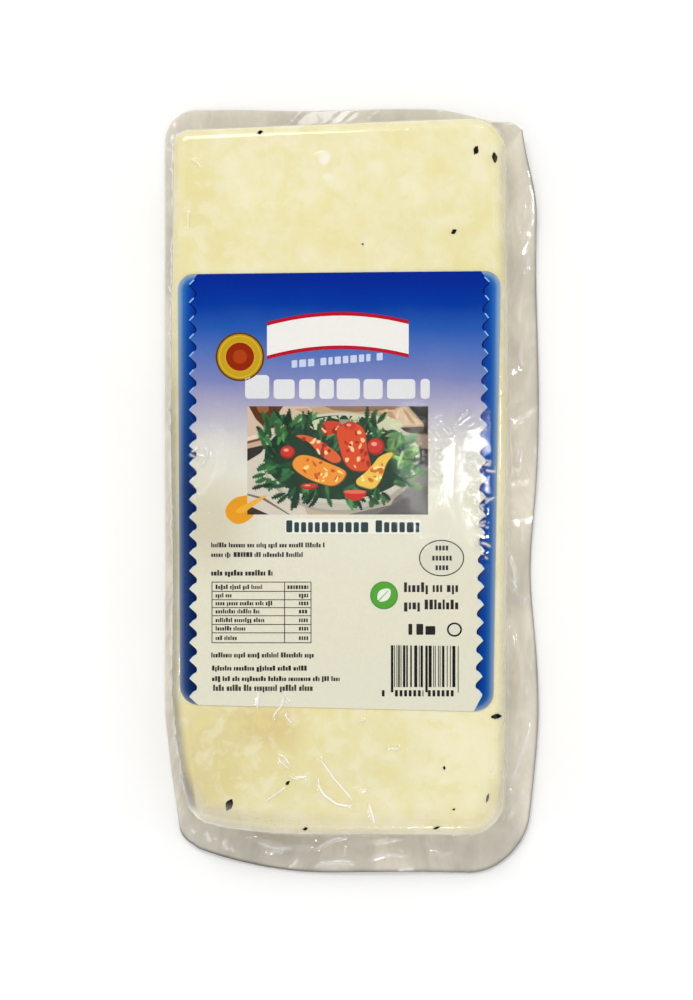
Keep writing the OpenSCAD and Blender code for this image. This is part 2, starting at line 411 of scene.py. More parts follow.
def rumple_creases():
    """Short shallow creases scattered over each rumpled patch."""
    out = []
    for (cu, cv), (ru, rv), n in RUMPLES:
        for _ in range(n):
            a, r = rng.uniform(0, 2 * math.pi), math.sqrt(rng.random())
            u, v = cu + ru * r * math.cos(a), cv + rv * r * math.sin(a)
            b, ln = rng.uniform(0, math.pi), rng.uniform(1.5, 4.5)
            du, dv = ln * math.cos(b) / 2, ln * math.sin(b) / 2
            bend = rng.uniform(-0.25, 0.25) * ln
            path = [
                (u - du, v - dv),
                (u - dv / ln * bend, v + du / ln * bend),
                (u + du, v + dv),
            ]
            out.append((path, rng.uniform(0.205, 0.34), rng.uniform(0.45, 0.95)))
    return out


def fine_creases():
    """Faint strain lines near the head, the foot and the corners."""
    out = []
    for _ in range(70):
        u = rng.uniform(-58, 54)
        v = rng.choice([rng.uniform(-120, -80), rng.uniform(-122, -100), rng.uniform(88, 134)])
        b, ln = rng.gauss(1.2, 0.7), rng.uniform(2, 7)
        du, dv = ln * math.cos(b) / 2, ln * math.sin(b) / 2
        out.append(([(u - du, v - dv), (u + du, v + dv)], rng.uniform(0.04, 0.1), rng.uniform(0.5, 0.9)))
    return out


creases = [(plan(p), h, w) for p, h, w in TOP_CREASES + rumple_creases() + fine_creases()]


flange_creases = [(plan(p), h * 1.2, w if w > 1.3 else w * 1.35) for p, h, w in FLANGE_CREASES]


def crease_height(x, y, lines=None):
    """Height of the creases at each point, and how near it lies to a crease's top, where the film's colour is
    whitened: partly stress whitening, partly a painted highlight for the creases' glints.
    """
    dz = np.zeros(len(x))
    crest_whitening_and_painted_glint = np.zeros(len(x))
    for path, h, w in creases if lines is None else lines:
        lo, hi = path.min(0) - 4 * w, path.max(0) + 4 * w
        near = (x > lo[0]) & (x < hi[0]) & (y > lo[1]) & (y < hi[1])
        if not near.any():
            continue
        d, t = dist_to_path(x[near], y[near], path)
        ends = np.clip(np.minimum(t, 1 - t) * 5, 0, 1) ** 0.7
        bumpy = h * ends * np.exp(-((d / w) ** 2))
        dz[near] = np.maximum(dz[near], bumpy) + 0.3 * np.minimum(dz[near], bumpy)
        if h > 0.2 and w < 1.3:
            c = np.clip(h / 0.4, 0, 1.1) * ends * np.exp(-((d / (0.62 * w)) ** 2))
            crest_whitening_and_painted_glint[near] = np.maximum(crest_whitening_and_painted_glint[near], c)
    return dz, crest_whitening_and_painted_glint


# ------------------------------------------------------------------ label
LABEL_PLAN_LEFT = lambda v: -61.55 + (76.6 - v) * 0.0045
LABEL_PLAN_RIGHT = lambda v: 56.3 - (83.6 - v) * 0.0168
LABEL_TOP = lambda u: 82.4 + (u + 61.5) * 0.0102
LABEL_FOOT = lambda u: -74.7 - (u + 54.2) * 0.0272


def label_outline(n=10):
    """The label's outline in plan coordinates, anticlockwise from head right."""

    def corner(cx, cy, a0, rx, ry):
        return [
            (cx + rx * math.cos(a0 + t), cy + ry * math.sin(a0 + t))
            for t in np.linspace(0, math.pi / 2, n)
        ]

    r1, r2 = 5.8, 7.0
    pts = corner(LABEL_PLAN_RIGHT(78) - r1, LABEL_TOP(52) - r1, 0, r1, r1)
    pts += corner(LABEL_PLAN_LEFT(78) + r1, LABEL_TOP(-56) - r1, math.pi / 2, r1, r1)
    pts += corner(LABEL_PLAN_LEFT(-70) + r2, LABEL_FOOT(-54) + r2, math.pi, r2, r2 * 1.02)
    pts += corner(LABEL_PLAN_RIGHT(-72) - r2, LABEL_FOOT(47) + r2, 1.5 * math.pi, r2, r2 * 0.95)
    return np.array(pts)


LABEL_OUT = label_outline()
_label_block = plan(LABEL_OUT)
PAPER_LO, PAPER_HI = 0.04, 0.2  # the paper's faces over the upper face
LAYER = 0.018  # step from one layer of print to the next
FILM_REST, FILM_OVER = 0.14, 0.42  # the film over the cheese, and over the label


def label_cover(x, y):
    """1 over the label, falling to 0 over the 2.5 mm round it."""
    closed = np.vstack([_label_block, _label_block[:1]])
    d, _ = dist_to_path(x, y, closed)
    inside = in_poly(x, y, _label_block)
    return np.where(inside, 1.0, 1 - smooth((d - 0.2) / 2.6))


# ------------------------------------------------------------ film and cheese
def fill_plan(loop, step, extra=None, keep_off=None):
    """Delaunay mesh inside a loop: an even grid plus the extra points."""
    lo, hi = loop.min(0), loop.max(0)
    rows = np.arange(lo[1], hi[1], step * 0.866)
    pts = []
    for j, yy in enumerate(rows):
        xs = np.arange(lo[0] + (step / 2 if j % 2 else 0), hi[0], step)
        pts.append(np.stack([xs, np.full(len(xs), yy)], 1))
    pts = np.vstack(pts)
    pts = pts[in_poly(pts[:, 0], pts[:, 1], loop)]
    closed = np.vstack([loop, loop[:1]])
    d, _ = dist_to_path(pts[:, 0], pts[:, 1], closed)
    pts = pts[d > step * 0.45]
    if extra is not None and len(extra):
        ok = in_poly(extra[:, 0], extra[:, 1], loop)
        extra = extra[ok]
        d, _ = dist_to_path(extra[:, 0], extra[:, 1], closed)
        extra = extra[d > 0.4]
        if keep_off is not None:
            pts = pts[keep_off(pts[:, 0], pts[:, 1])]
        pts = np.vstack([pts, extra])
    allp = np.vstack([loop, pts])
    n = len(loop)
    v, _, f, _, _, _ = delaunay_2d_cdt(
        [Vector((a, b)) for a, b in allp], [(i, (i + 1) % n) for i in range(n)], [], 1, 1e-7
    )
    return np.array([(p.x, p.y) for p in v]), [list(t) for t in f]


def crease_points():
    """Points along each crease and at a few offsets to its sides."""
    pts = []
    for path, h, w in creases:
        if h < 0.07:
            continue
        q = rounded_path(path, 0.55 if h > 0.2 else 0.8)
        t = np.gradient(q, axis=0)
        t /= np.maximum(np.hypot(t[:, 0], t[:, 1])[:, None], 1e-9)
        nrm = np.stack([-t[:, 1], t[:, 0]], 1)
        for off in (0, 0.35, -0.35, 0.75, -0.75, 1.25, -1.25, 1.9, -1.9):
            pts.append(q + nrm * off * w)
    p = np.vstack(pts)
    # thin out points that fall together
    key = np.round(p / 0.26).astype(int)
    _, first = np.unique(key, axis=0, return_index=True)
    return p[np.sort(first)]


def pleats(n, seed):
    """Gathers of the film down the walls: place round the block, width, depth."""
    r = random.Random(seed)
    return [
        (r.random(), r.uniform(0.9, 2.4), r.uniform(-0.5, 1.0), r.uniform(-3, 3))
        for _ in range(n)
    ]


def foot_haze(x, y, d):
    """The film stands a little off the block inside its foot edge, and looks milky."""
    foot = smooth((-y - 0.8 * HL) / (0.12 * HL))
    left = smooth((0.1 * HW - x) / (1.1 * HW))
    return foot * (0.2 + 0.36 * left) * (1 - smooth(d / 6.2))


def build_film():
    cols = Columns(14, [132, 210, 190, 230])
    b0 = block_ring(cols, 0)
    inner = block_ring(cols, EDGE_R)
    zq = top_z(inner[:, 0], inner[:, 1])
    edge = flange_edge(cols)
    nxt, prv = np.roll(b0, -1, 0), np.roll(b0, 1, 0)
    tan = nxt - prv
    tan /= np.hypot(tan[:, 0], tan[:, 1])[:, None]
    out = np.stack([tan[:, 1], -tan[:, 0]], 1)
    # place round the block, in mm
    step = np.hypot(*(np.roll(b0, -1, 0) - b0).T)
    s = np.concatenate([[0], np.cumsum(step)[:-1]])
    total = step.sum()
    width = np.hypot(*(edge - b0).T)
    x0, y0 = b0[:, 0], b0[:, 1]
    leftside = smooth((-x0 - 0.8 * HW) / (0.15 * HW))
    cornered = np.maximum.reduce(
        [
            np.exp(-(((x0 - cx) ** 2 + (y0 - cy) ** 2) / 18.0**2))
            for cx, cy in ((HW, HL), (-HW, HL), (-HW + 5, -HL), (HW, -HL))
        ]
    )

    def pleat(level):
        """Outward push of the film at a level: 0 at the rim, 1 at the flange's edge."""
        d = np.zeros(cols.n)
        for place, w, depth, drift in pleats(230, 61):
            c = (place * total + drift * level) % total
            gap = (s - c + total / 2) % total - total / 2
            d += depth * np.exp(-((gap / (w * (0.6 + 0.6 * level))) ** 2))
        amp = (0.28 + 0.5 * cornered + 0.35 * leftside) * smooth(level * 3.2)
        return d * amp

    # Per point, the milk's colour scale holds random streaks, painted shade and painted light: darker down the left's
    # lower half, at the foot's left corner and on the head flange, lighter at the foot and on the right flange.
    rings, haze_and_painted_light, tone_and_painted_light, crest_whitening_and_painted_glint = [], [], [], []
    rim_noise = snoise(x0, y0, 0 * x0, 3.4, 21.0) + 0.5 * snoise(x0, y0, 0 * x0, 1.6, 4.0)
    streak = snoise(s, 0 * s, 0 * s, 2.2, 8.0) + 0.6 * snoise(s, 0 * s, 0 * s, 6.0, 2.0)
    footside = smooth((-y0 - 0.9 * HL) / (0.07 * HL))
    headside = smooth((y0 - 0.9 * HL) / (0.07 * HL))
    rightside = smooth((x0 - 0.8 * HW) / (0.15 * HW)) * (1 - footside) * (1 - headside)
    lefthead = leftside * smooth((y0 - 0.15 * HL) / (0.4 * HL))
    leftlow = leftside * (1 - smooth((y0 - 0.1 * HL) / (0.45 * HL)))
    footleft = smooth((-y0 - 0.75 * HL) / (0.3 * HL)) * smooth((0.35 * HW - x0) / (1.0 * HW))

    # rim: from the upper face over the edge
    for a in np.linspace(90, 0, 8):
        ring = block_ring(cols, EDGE_R * (1 - math.cos(a * D2R)))
        z = zq - EDGE_R * (1 - math.sin(a * D2R))
        lift = FILM_REST + 0.04
        turn = math.cos(a * D2R)
        puff = lift + turn * (0.16 * rim_noise + 0.3 * np.maximum(pleat(0.2), -0.2))
        p = np.column_stack([ring + out * (puff * turn)[:, None], z + puff * math.sin(a * D2R)])
        rings.append(p)
        # more milk on the rim to the right stands in for the film's grey reflection there, a painted reflection; on
        # the left's lower half the extra milk carries the darker painted shade
        haze_and_painted_light.append(0.012 + foot_haze(x0, y0, 0 * x0) + (0.14 + 0.12 * leftside + 0.46 * leftlow + 0.42 * rightside + 0.1 * cornered + 0.22 * footside) * turn**1.3)
        tone_and_painted_light.append(0.78 - 0.44 * leftlow * (1 - footside) - 0.06 * rightside + 0.12 * footside + 0.04 * streak * leftside)
        crest_whitening_and_painted_glint.append(np.zeros(cols.n))
    # wall: down to where the film leaves the block for the flange
    z_rim = zq - EDGE_R
    f_in = 0.25
    start = b0 + (edge - b0) * f_in
    z_in = flange_mid(start[:, 0], start[:, 1], f_in) + FL_T / 2
    rise = 2.2 + 0.22 * width + 2.5 * cornered
    z_wall = z_in + rise
    for u in np.linspace(0, 1, 14)[1:]:
        push = FILM_REST + 0.04 + WALL_BOW * math.sin(math.pi * u) + 0.7 * u + 0.16 * rim_noise * (1 - u)
        lvl = 0.2 + 0.32 * u
        p = np.column_stack(
            [b0 + out * (push + np.maximum(pleat(lvl), -0.25))[:, None], z_rim + (z_wall - z_rim) * u]
        )
        rings.append(p)
        haze_and_painted_light.append(0.24 + 0.12 * leftside + 0.08 * leftlow + 0.36 * footside + (0.26 - 0.2 * footside) * u + 0.04 * streak * u)
        tone_and_painted_light.append(0.78 - 0.16 * leftlow * (1 - footside) + 0.16 * footside - 0.06 * footleft + 0.08 * streak * leftside + 0.06 * rightside)
        crest_whitening_and_painted_glint.append(np.zeros(cols.n))
    last = rings[-1]
    # fillet from the wall to the flange
    for u in np.linspace(0, 1, 9)[1:]:
        c, sn = 1 - math.cos(u * math.pi / 2), math.sin(u * math.pi / 2)
        xy = last[:, :2] + (start - last[:, :2]) * c
        z = last[:, 2] + (z_in - last[:, 2]) * sn
        z = z + pleat(0.6) * 0.35 * u
        rings.append(np.column_stack([xy, z]))
        haze_and_painted_light.append(0.52 + 0.16 * u + 0.03 * streak)
        tone_and_painted_light.append(0.82 - 0.34 * leftlow * (1 - footside) - 0.1 * footleft + 0.16 * footside + 0.05 * streak * leftside + 0.1 * rightside)
        crest_whitening_and_painted_glint.append(np.zeros(cols.n))
    z_carry = rings[-1][:, 2] - z_in
    # flange, upper web
    n_fl = 24
    for j in range(1, n_fl + 1):
        f = f_in + (1 - f_in) * j / n_fl
        xy = b0 + (edge - b0) * f
        out_f = (f - f_in) / (1 - f_in)
        z = flange_mid(xy[:, 0], xy[:, 1], f) + 0.2
        z = z + (FL_T / 2 - 0.2) * (1 - out_f) + pleat(0.6 + 0.4 * out_f) * 0.35
        z = z + (z_carry - pleat(0.6) * 0.35) * (1 - smooth(out_f * 2))
        dz, cr = crease_height(xy[:, 0], xy[:, 1], flange_creases)
        z = z + dz + 0.1 * snoise(xy[:, 0], xy[:, 1], 0 * z, 5.0, 12.0)
        rings.append(np.column_stack([xy, np.maximum(z, 0.55)]))
        haze_and_painted_light.append(0.68 + 0.06 * out_f + 0.03 * streak * (1 - out_f))
        tone_and_painted_light.append(
            0.8
            + 0.06 * leftside * (1 - lefthead)
            - 0.26 * footleft * (1 - 0.3 * out_f)
            + (0.16 - 0.1 * out_f) * footside
            + (0.14 - 0.06 * out_f) * rightside
            - 0.08 * headside
            + 0.05 * streak * leftside
        )
        crest_whitening_and_painted_glint.append(cr)
    top_edge = rings[-1]
    # painted shadow: the cut edge is darkened where it faces away from the light, standing in for the flange's shadow
    # on the floor beside it
    away = np.clip(rightside + footside + footleft, 0, 1)
    for back, part in ((1, 1.0), (2, 0.62), (3, 0.2)):
        haze_and_painted_light[-back] = haze_and_painted_light[-back] + 0.28 * away * part
        tone_and_painted_light[-back] = tone_and_painted_light[-back] - 0.66 * away * part
    # flange, lower web, back in under the block
    for f in (1.0, 0.75, 0.5, 0.3, 0.12):
        xy = b0 + (edge - b0) * f
        upper = np.interp(f, [0.25, 1], [0, 1])
        z = flange_mid(xy[:, 0], xy[:, 1], f) - 0.1 + pleat(1.0) * 0.3 * upper
        z = np.minimum(z, top_edge[:, 2] - 0.22) if f == 1.0 else z
        rings.append(np.column_stack([xy, np.maximum(z, 0.22)]))
        # painted shadow: the lower web's outer edge is darkened the same way
        haze_and_painted_light.append(np.full(cols.n, 0.5) + (0.48 * away if f == 1.0 else 0))
        tone_and_painted_light.append(np.full(cols.n, 0.7) - (0.6 * away if f == 1.0 else 0))
        crest_whitening_and_painted_glint.append(np.zeros(cols.n))
    under = block_ring(cols, 1.2)
    rings.append(np.column_stack([under, np.full(cols.n, 0.35)]))
    haze_and_painted_light.append(np.full(cols.n, 0.1))
    tone_and_painted_light.append(np.full(cols.n, 0.7))
    crest_whitening_and_painted_glint.append(np.zeros(cols.n))
    under = block_ring(cols, 3.5)
    rings.append(np.column_stack([under, np.full(cols.n, 0.05)]))
    haze_and_painted_light.append(np.full(cols.n, 0.05))
    tone_and_painted_light.append(np.full(cols.n, 0.7))
    crest_whitening_and_painted_glint.append(np.zeros(cols.n))

    # upper face
    extra = crease_points()

    def off_creases(x, y):
        keep = np.ones(len(x), bool)
        key = {(int(round(a / 0.8)), int(round(b / 0.8))) for a, b in extra}
        for i, (a, b) in enumerate(zip(x, y)):
            if (int(round(a / 0.8)), int(round(b / 0.8))) in key:
                keep[i] = False
        return keep

    loop = rings[0][:, :2]
    pv, pf = fill_plan(loop, 1.5, extra, off_creases)
    x, y = pv[:, 0], pv[:, 1]
    cover = label_cover(x, y)
    d_edge, _ = dist_to_path(x, y, np.vstack([loop, loop[:1]]))
    z = top_z(x, y) + FILM_REST + (FILM_OVER - FILM_REST) * cover
    dz, cr = crease_height(x, y)
    z = z + dz * np.clip(d_edge / 2.0, 0, 1)
    z = z + 0.05 * snoise(x, y, 0 * x, 9.0, 3.1) * np.clip(d_edge / 4, 0, 1) * (1 - 0.6 * cover)
    n = cols.n
    z[:n] = rings[0][:, 2]
    # points of the loop come first and in order, so the rings join on to them
    verts = [np.column_stack([pv, z])]
    base = len(pv)
    hz = [0.006 * (1 - 0.8 * cover) + foot_haze(x, y, d_edge) + 0.05 * (1 - smooth(d_edge / 3.0)) * np.where(y < -100, 1.0, 0.4)]
    tn, ct = [np.full(len(pv), 0.8)], [cr]
    hz[0][:n] = haze_and_painted_light[0]
    for r, h, t, c in zip(rings[1:], haze_and_painted_light[1:], tone_and_painted_light[1:], crest_whitening_and_painted_glint[1:]):
        verts.append(r)
        hz.append(h)
        tn.append(t)
        ct.append(c)
    centre = np.array([[0.0, 0.0, 0.05]])
    # underside closes in three shrinking rings
    for sc in (0.7, 0.35):
        ring = block_ring(cols, 3.5) * sc
        verts.append(np.column_stack([ring, np.full(n, 0.05)]))
        hz.append(np.full(n, 0.05))
        tn.append(np.full(n, 0.7))
        ct.append(np.zeros(n))
    verts.append(centre)
    hz.append(np.array([0.05]))
    tn.append(np.array([0.7]))
    ct.append(np.array([0.0]))
    verts = np.vstack(verts)
    faces = [f for f in pf]
    m = len(rings) - 1 + 2

    def at(row, i):
        i %= n
        return i if row == 0 else base + (row - 1) * n + i

    for row in range(m):
        for i in range(n):
            faces.append((at(row, i), at(row, i + 1), at(row + 1, i + 1), at(row + 1, i))[::-1])
    last_row = m
    tip = len(verts) - 1
    for i in range(n):
        faces.append((at(last_row, i), tip, at(last_row, i + 1)))
    print("film", len(verts), "points", sum(len(f) - 2 for f in faces), "triangles")
    attrs = {"haze_and_painted_light": np.concatenate(hz), "tone_and_painted_light": np.concatenate(tn), "crest_whitening_and_painted_glint": np.concatenate(ct)}
    return make_object("film", verts, faces, True, attrs)


film = build_film()


def build_cheese():
    cols = Columns(8, [80, 160, 80, 160])
    b0 = block_ring(cols, 0)
    inner = block_ring(cols, EDGE_R)
    zq = top_z(inner[:, 0], inner[:, 1])
    nxt, prv = np.roll(b0, -1, 0), np.roll(b0, 1, 0)
    tan = nxt - prv
    tan /= np.hypot(tan[:, 0], tan[:, 1])[:, None]
    out = np.stack([tan[:, 1], -tan[:, 0]], 1)
    rings = []
    for a in np.linspace(90, 0, 8):
        ring = block_ring(cols, EDGE_R * (1 - math.cos(a * D2R)))
        z = zq - EDGE_R * (1 - math.sin(a * D2R))
        rings.append(
            np.column_stack(
                [ring - out * 0.1 * math.cos(a * D2R), z - 0.1 * math.sin(a * D2R)]
            )
        )
    z_rim = zq - EDGE_R
    for u in np.linspace(0, 1, 14)[1:]:
        push = -0.1 + WALL_BOW * math.sin(math.pi * u)
        rings.append(np.column_stack([b0 + out * push, z_rim + (3.0 - z_rim) * u]))
    for a in (30, 60, 90):
        d = 2.6 * (1 - math.cos(a * D2R))
        rings.append(
            np.column_stack([block_ring(cols, d) - out * 0.1, np.full(cols.n, 3.0 - 2.6 * math.sin(a * D2R))])
        )
    loop = rings[0][:, :2]
    pv, pf = fill_plan(loop, 1.9)
    n = cols.n
    x, y = pv[:, 0], pv[:, 1]
    z = top_z(x, y) - 0.1
    z[:n] = rings[0][:, 2]
    top = np.column_stack([pv, z])
    verts = [top] + rings[1:]
    under, uf = fill_plan(rings[-1][:, :2], 4.0)
    base = len(pv)
    m = len(rings) - 1
    bottom_start = base + (m - 1) * n  # the last ring is the underside's loop
    verts.append(np.column_stack([under[n:], np.full(len(under) - n, 0.4)]))
    verts = np.vstack(verts)
    faces = list(pf)

    def at(row, i):
        i %= n
        return i if row == 0 else base + (row - 1) * n + i

    for row in range(m):
        for i in range(n):
            faces.append((at(row, i), at(row + 1, i), at(row + 1, i + 1), at(row, i + 1)))
    remap = lambda i: bottom_start + i if i < n else bottom_start + i
    for f in uf:
        faces.append([remap(i) for i in f][::-1])
    # hand-worked surface: soft dents and pits, always inwards
    me_v = verts.copy()
    xx, yy, zz = me_v.T
    soft = snoise(xx, yy, zz, 26.0, 1.7)
    mid = snoise(xx, yy, zz, 8.0, 5.2)
    fine = snoise(xx, yy, zz, 3.2, 9.4)
    depth = 0.16 * (1 - soft) / 2 + 0.12 * np.clip(mid, 0, 1) + 0.05 * np.clip(fine, 0, 1)
    # the old fold line near the foot's left corner
    q = plan([(-57.0, -113.6), (-53.0, -113.8), (-49.0, -114.4)])
    d, t = dist_to_path(xx, yy, q)
    depth += 0.5 * np.exp(-((d / 0.5) ** 2)) * np.clip(np.minimum(t, 1 - t) * 4, 0, 1) * (zz > 20)
    is_wall = (zz < zz.max() - EDGE_R)
    cx = np.zeros_like(me_v)
    cx[:, 2] = np.where(is_wall, 0, -1)
    inward = -np.stack([xx / HW, yy / HL], 1)
    # walls move in towards the long axis, the upper face moves down
    wall_dir = np.where(
        (np.abs(xx) / HW > np.abs(yy) / HL)[:, None],
        np.stack([-np.sign(xx), 0 * yy], 1),
        np.stack([0 * xx, -np.sign(yy)], 1),
    )
    cx[:, :2] = np.where(is_wall[:, None], wall_dir, 0)
    low = zz < 0.6
    cx[low] = 0
    me_v = me_v + cx * (depth * np.where(is_wall, 2.4, 1.0))[:, None]
    return make_object("cheese", me_v, faces, True)


cheese = build_cheese()


# ------------------------------------------------------- label and its print
def paper_z(x, y):
    """The paper's own lie over the cheese: the upper face and a faint cockle."""
    return top_z(x, y) + 0.02 * sind(9 * x + 4 * y) * sind(7 * y)


def ccw(poly):
    p = np.asarray(poly, float)
    x, y = p[:, 0], p[:, 1]
    area = np.sum(x * np.roll(y, -1) - np.roll(x, -1) * y)
    return p if area > 0 else p[::-1]


def cut_edges(poly, step):
    out = []
    for a, b in zip(poly, np.roll(poly, -1, 0)):
        n = max(1, int(math.ceil(np.hypot(*(b - a)) / step)))
        out += [a + (b - a) * i / n for i in range(n)]
    return np.array(out)


def prism(poly, z_lo, z_hi, step=3.6):
    """A thin closed slab with this plan outline that follows the paper."""
    loop = plan(cut_edges(ccw(poly), step))
    n = len(loop)
    lo, hi = loop.min(0), loop.max(0)
    gx = np.arange(math.floor(lo[0] / step) * step, hi[0], step)
    gy = np.arange(math.floor(lo[1] / step) * step, hi[1], step)
    pts = loop
    if len(gx) and len(gy):
        g = np.array([(a, b) for a in gx for b in gy])
        g = g[in_poly(g[:, 0], g[:, 1], loop)]
        if len(g):
            d, _ = dist_to_path(g[:, 0], g[:, 1], np.vstack([loop, loop[:1]]))
            g = g[d > 0.35 * step]
            pts = np.vstack([loop, g])
    v, _, f, _, _, _ = delaunay_2d_cdt(
        [Vector(p) for p in pts], [(i, (i + 1) % n) for i in range(n)], [], 1, 1e-7
    )
    v = np.array([(p.x, p.y) for p in v])
    f = [list(t) for t in f]
    m = len(v)
    z = paper_z(v[:, 0], v[:, 1])
    verts = np.vstack([np.column_stack([v, z + z_hi]), np.column_stack([v, z + z_lo])])
    # the outline again from the faces, as crossings may have added points
    count = {}
    for t in f:
        for a, b in zip(t, t[1:] + t[:1]):
            count[(a, b)] = True
    faces = list(f) + [[i + m for i in t][::-1] for t in f]
    for a, b in count:
        if (b, a) not in count:
            faces.append([b, a, a + m, b + m])
    return verts, faces


def srgb(c):
    """0-255 display colour to linear."""
    c = np.asarray(c, float) / 255
    return np.where(c <= 0.04045, c / 12.92, ((c + 0.055) / 1.055) ** 2.4)


def print_piece(name, items):
    """items: (outline, colour 0-255, layer). One piece, each shape in its ink."""
    verts, faces, cols, base = [], [], [], 0
    for poly, colour, layer in items:
        hi = PAPER_HI + LAYER * layer
        v, f = prism(poly, hi - LAYER * 1.6, hi)
        verts.append(v)
        faces += [[i + base for i in t] for t in f]
        cols.append(np.tile(np.append(srgb(colour), 1.0), (len(v), 1)))
        base += len(v)
    ob = make_object(name, np.vstack(verts), faces, False)
    at = ob.data.attributes.new("ink", "FLOAT_COLOR", "POINT")
    at.data.foreach_set("color", np.vstack(cols).astype(np.float32).ravel())
    return ob


def rect(u0, v0, u1, v1, r=0.0, n=5):
    u0, u1, v0, v1 = min(u0, u1), max(u0, u1), min(v0, v1), max(v0, v1)
    r = min(r, (u1 - u0) / 2 - 1e-3, (v1 - v0) / 2 - 1e-3)
    if r <= 0.02:
        return np.array([(u0, v0), (u1, v0), (u1, v1), (u0, v1)])
    out = []
    for cx, cy, a in ((u1 - r, v0 + r, -90), (u1 - r, v1 - r, 0), (u0 + r, v1 - r, 90), (u0 + r, v0 + r, 180)):
        for t in np.linspace(a, a + 90, n):
            out.append((cx + r * cosd(t), cy + r * sind(t)))
    return np.array(out, float)


def ellipse(cu, cv, a, b, n=48, turn=0.0):
    t = np.linspace(0, 2 * math.pi, n, endpoint=False)
    x, y = a * np.cos(t), b * np.sin(t)
    c, s = cosd(turn), sind(turn)
    return np.stack([cu + x * c - y * s, cv + x * s + y * c], 1)


def band(path, w0, w1=None):
    """A line with this width, which may change from its start to its end."""
    p = np.asarray(path, float)
    w1 = w0 if w1 is None else w1
    t = np.gradient(p, axis=0)
    t /= np.maximum(np.hypot(t[:, 0], t[:, 1])[:, None], 1e-9)
    nrm = np.stack([-t[:, 1], t[:, 0]], 1)
    w = np.linspace(w0, w1, len(p))[:, None] / 2
    return np.vstack([p + nrm * w, (p - nrm * w)[::-1]])


def soft_shape(points, rounds=2):
    """A closed outline with its corners rounded off."""
    p = np.asarray(points, float)
    for _ in range(rounds):
        q = np.roll(p, -1, 0)
        p = np.stack([p * 0.75 + q * 0.25, p * 0.25 + q * 0.75], 1).reshape(-1, 2)
    return p


def clip_to(poly, u0, v0, u1, v1):
    """Sutherland-Hodgman against a rectangle."""
    p = [tuple(a) for a in poly]
    for axis, lim, keep_above in ((0, u0, True), (0, u1, False), (1, v0, True), (1, v1, False)):
        out = []
        for i in range(len(p)):
            a, b = p[i], p[(i + 1) % len(p)]
            ia = a[axis] >= lim if keep_above else a[axis] <= lim
            ib = b[axis] >= lim if keep_above else b[axis] <= lim
            if ia != ib:
                t = (lim - a[axis]) / (b[axis] - a[axis])
                cut = (a[0] + t * (b[0] - a[0]), a[1] + t * (b[1] - a[1]))
            if ia:
                out.append(a)
                if not ib:
                    out.append(cut)
            elif ib:
                out.append(cut)
        p = out
        if not p:
            return None
    clean = [p[0]]
    for q in p[1:]:
        if math.hypot(q[0] - clean[-1][0], q[1] - clean[-1][1]) > 1e-3:
            clean.append(q)
    if math.hypot(clean[0][0] - clean[-1][0], clean[0][1] - clean[-1][1]) < 1e-3:
        clean.pop()
    return np.array(clean) if len(clean) > 2 else None


# the paper
verts, faces = prism(LABEL_OUT, PAPER_LO, PAPER_HI, 3.2)
label_paper = make_object("label_paper", verts, faces, False)

# the border strips outside each zigzag
WAVE = [(0.0, 0.0), (0.12, 0.31), (0.24, 0.64), (0.34, 0.88), (0.43, 1.0), (0.53, 0.98), (0.63, 0.84), (0.8, 0.46)]


def zig(side):
    """Zigzag points from head to foot, and each period's notch."""
    pts, notches = [], []
    if side < 0:
        top, foot, n = 78.4, -71.9, 23
        notch = lambda v: -57.6 + 0.0012 * (78 - v)
        depth = lambda v: 2.65
    else:
        top, foot, n = 79.4, -71.2, 23
        notch = lambda v: 52.35 - 0.0182 * (79.4 - v)
        depth = lambda v: 2.35
    per = (top - foot) / n
    for k in range(n):
        for t, d in WAVE:
            v = top - per * (k + t)
            pts.append((notch(v) - side * depth(v) * d, v))
        notches.append((k, top - per * k))
    pts.append((notch(foot), foot))
    return np.array(pts), per, notch, depth, top, n


borders, across = [], []
line_items = []
for side in (-1, 1):
    z, per, notch, depth, top, n = zig(side)
    # from the head edge into the zigzag, down it, and out at the foot
    head_u = z[0, 0] - side * 2.0
    head = np.array([(head_u - side * 1.2, LABEL_TOP(head_u) - 0.02), (z[0, 0] - side * 2.4, z[0, 1] + per * 0.45)])
    if side < 0:
        foot = np.array([(z[-1, 0] + 3.4, -75.0)])
    else:
        foot = np.array([(z[-1, 0] - 3.2, -77.2)])
    inner = np.vstack([head, z, foot])
    # the outline's part on this side, from foot to head
    o = LABEL_OUT
    if side < 0:
        sel = [p for p in o if p[0] < -52]
        sel = sorted(sel, key=lambda p: math.atan2(p[1] - 4, p[0] + 20) % (2 * math.pi), reverse=True)
        sel = [p for p in sel if p[1] < -67.5] and sel
    else:
        sel = [p for p in o if p[0] > 47]
        sel = sorted(sel, key=lambda p: math.atan2(p[1] - 3, p[0] - 10))
    outer = np.array(sel)
    borders.append((inner, outer, side))

border_parts = []
for inner, outer, side in borders:
    poly = np.vstack([inner, outer])
    if side < 0:
        # outer must run from the foot back up to the head
        if outer[0][1] > outer[-1][1]:
            outer = outer[::-1]
        keep = (outer[:, 0] < inner[-1, 0]) | (outer[:, 1] > 0)
        outer = outer[keep & ((outer[:, 0] < inner[0, 0]) | (outer[:, 1] < 0))]
    else:
        if outer[0][1] > outer[-1][1]:
            outer = outer[::-1]
        keep = (outer[:, 0] > inner[-1, 0]) | (outer[:, 1] > 0)
        outer = outer[keep & ((outer[:, 0] > inner[0, 0]) | (outer[:, 1] < 0))]
    # a whisker inside the paper's own edge
    mid = np.array([-3.0, 4.0])
    outer = mid + (outer - mid) * (1 - 0.0006)
    border_parts.append(np.vstack([inner, outer]))

bv, bf, base = [], [], 0
for poly in border_parts:
    v, f = prism(poly, PAPER_HI - 0.01, PAPER_HI + LAYER, 1.5)
    bv.append(v)
    bf += [[i + base for i in t] for t in f]
    base += len(v)
bv = np.vstack(bv)
_d, _ = dist_to_path(bv[:, 0], bv[:, 1], np.vstack([_label_block, _label_block[:1]]))
label_border = make_object("label_border", bv, bf, False, {"across": _d})

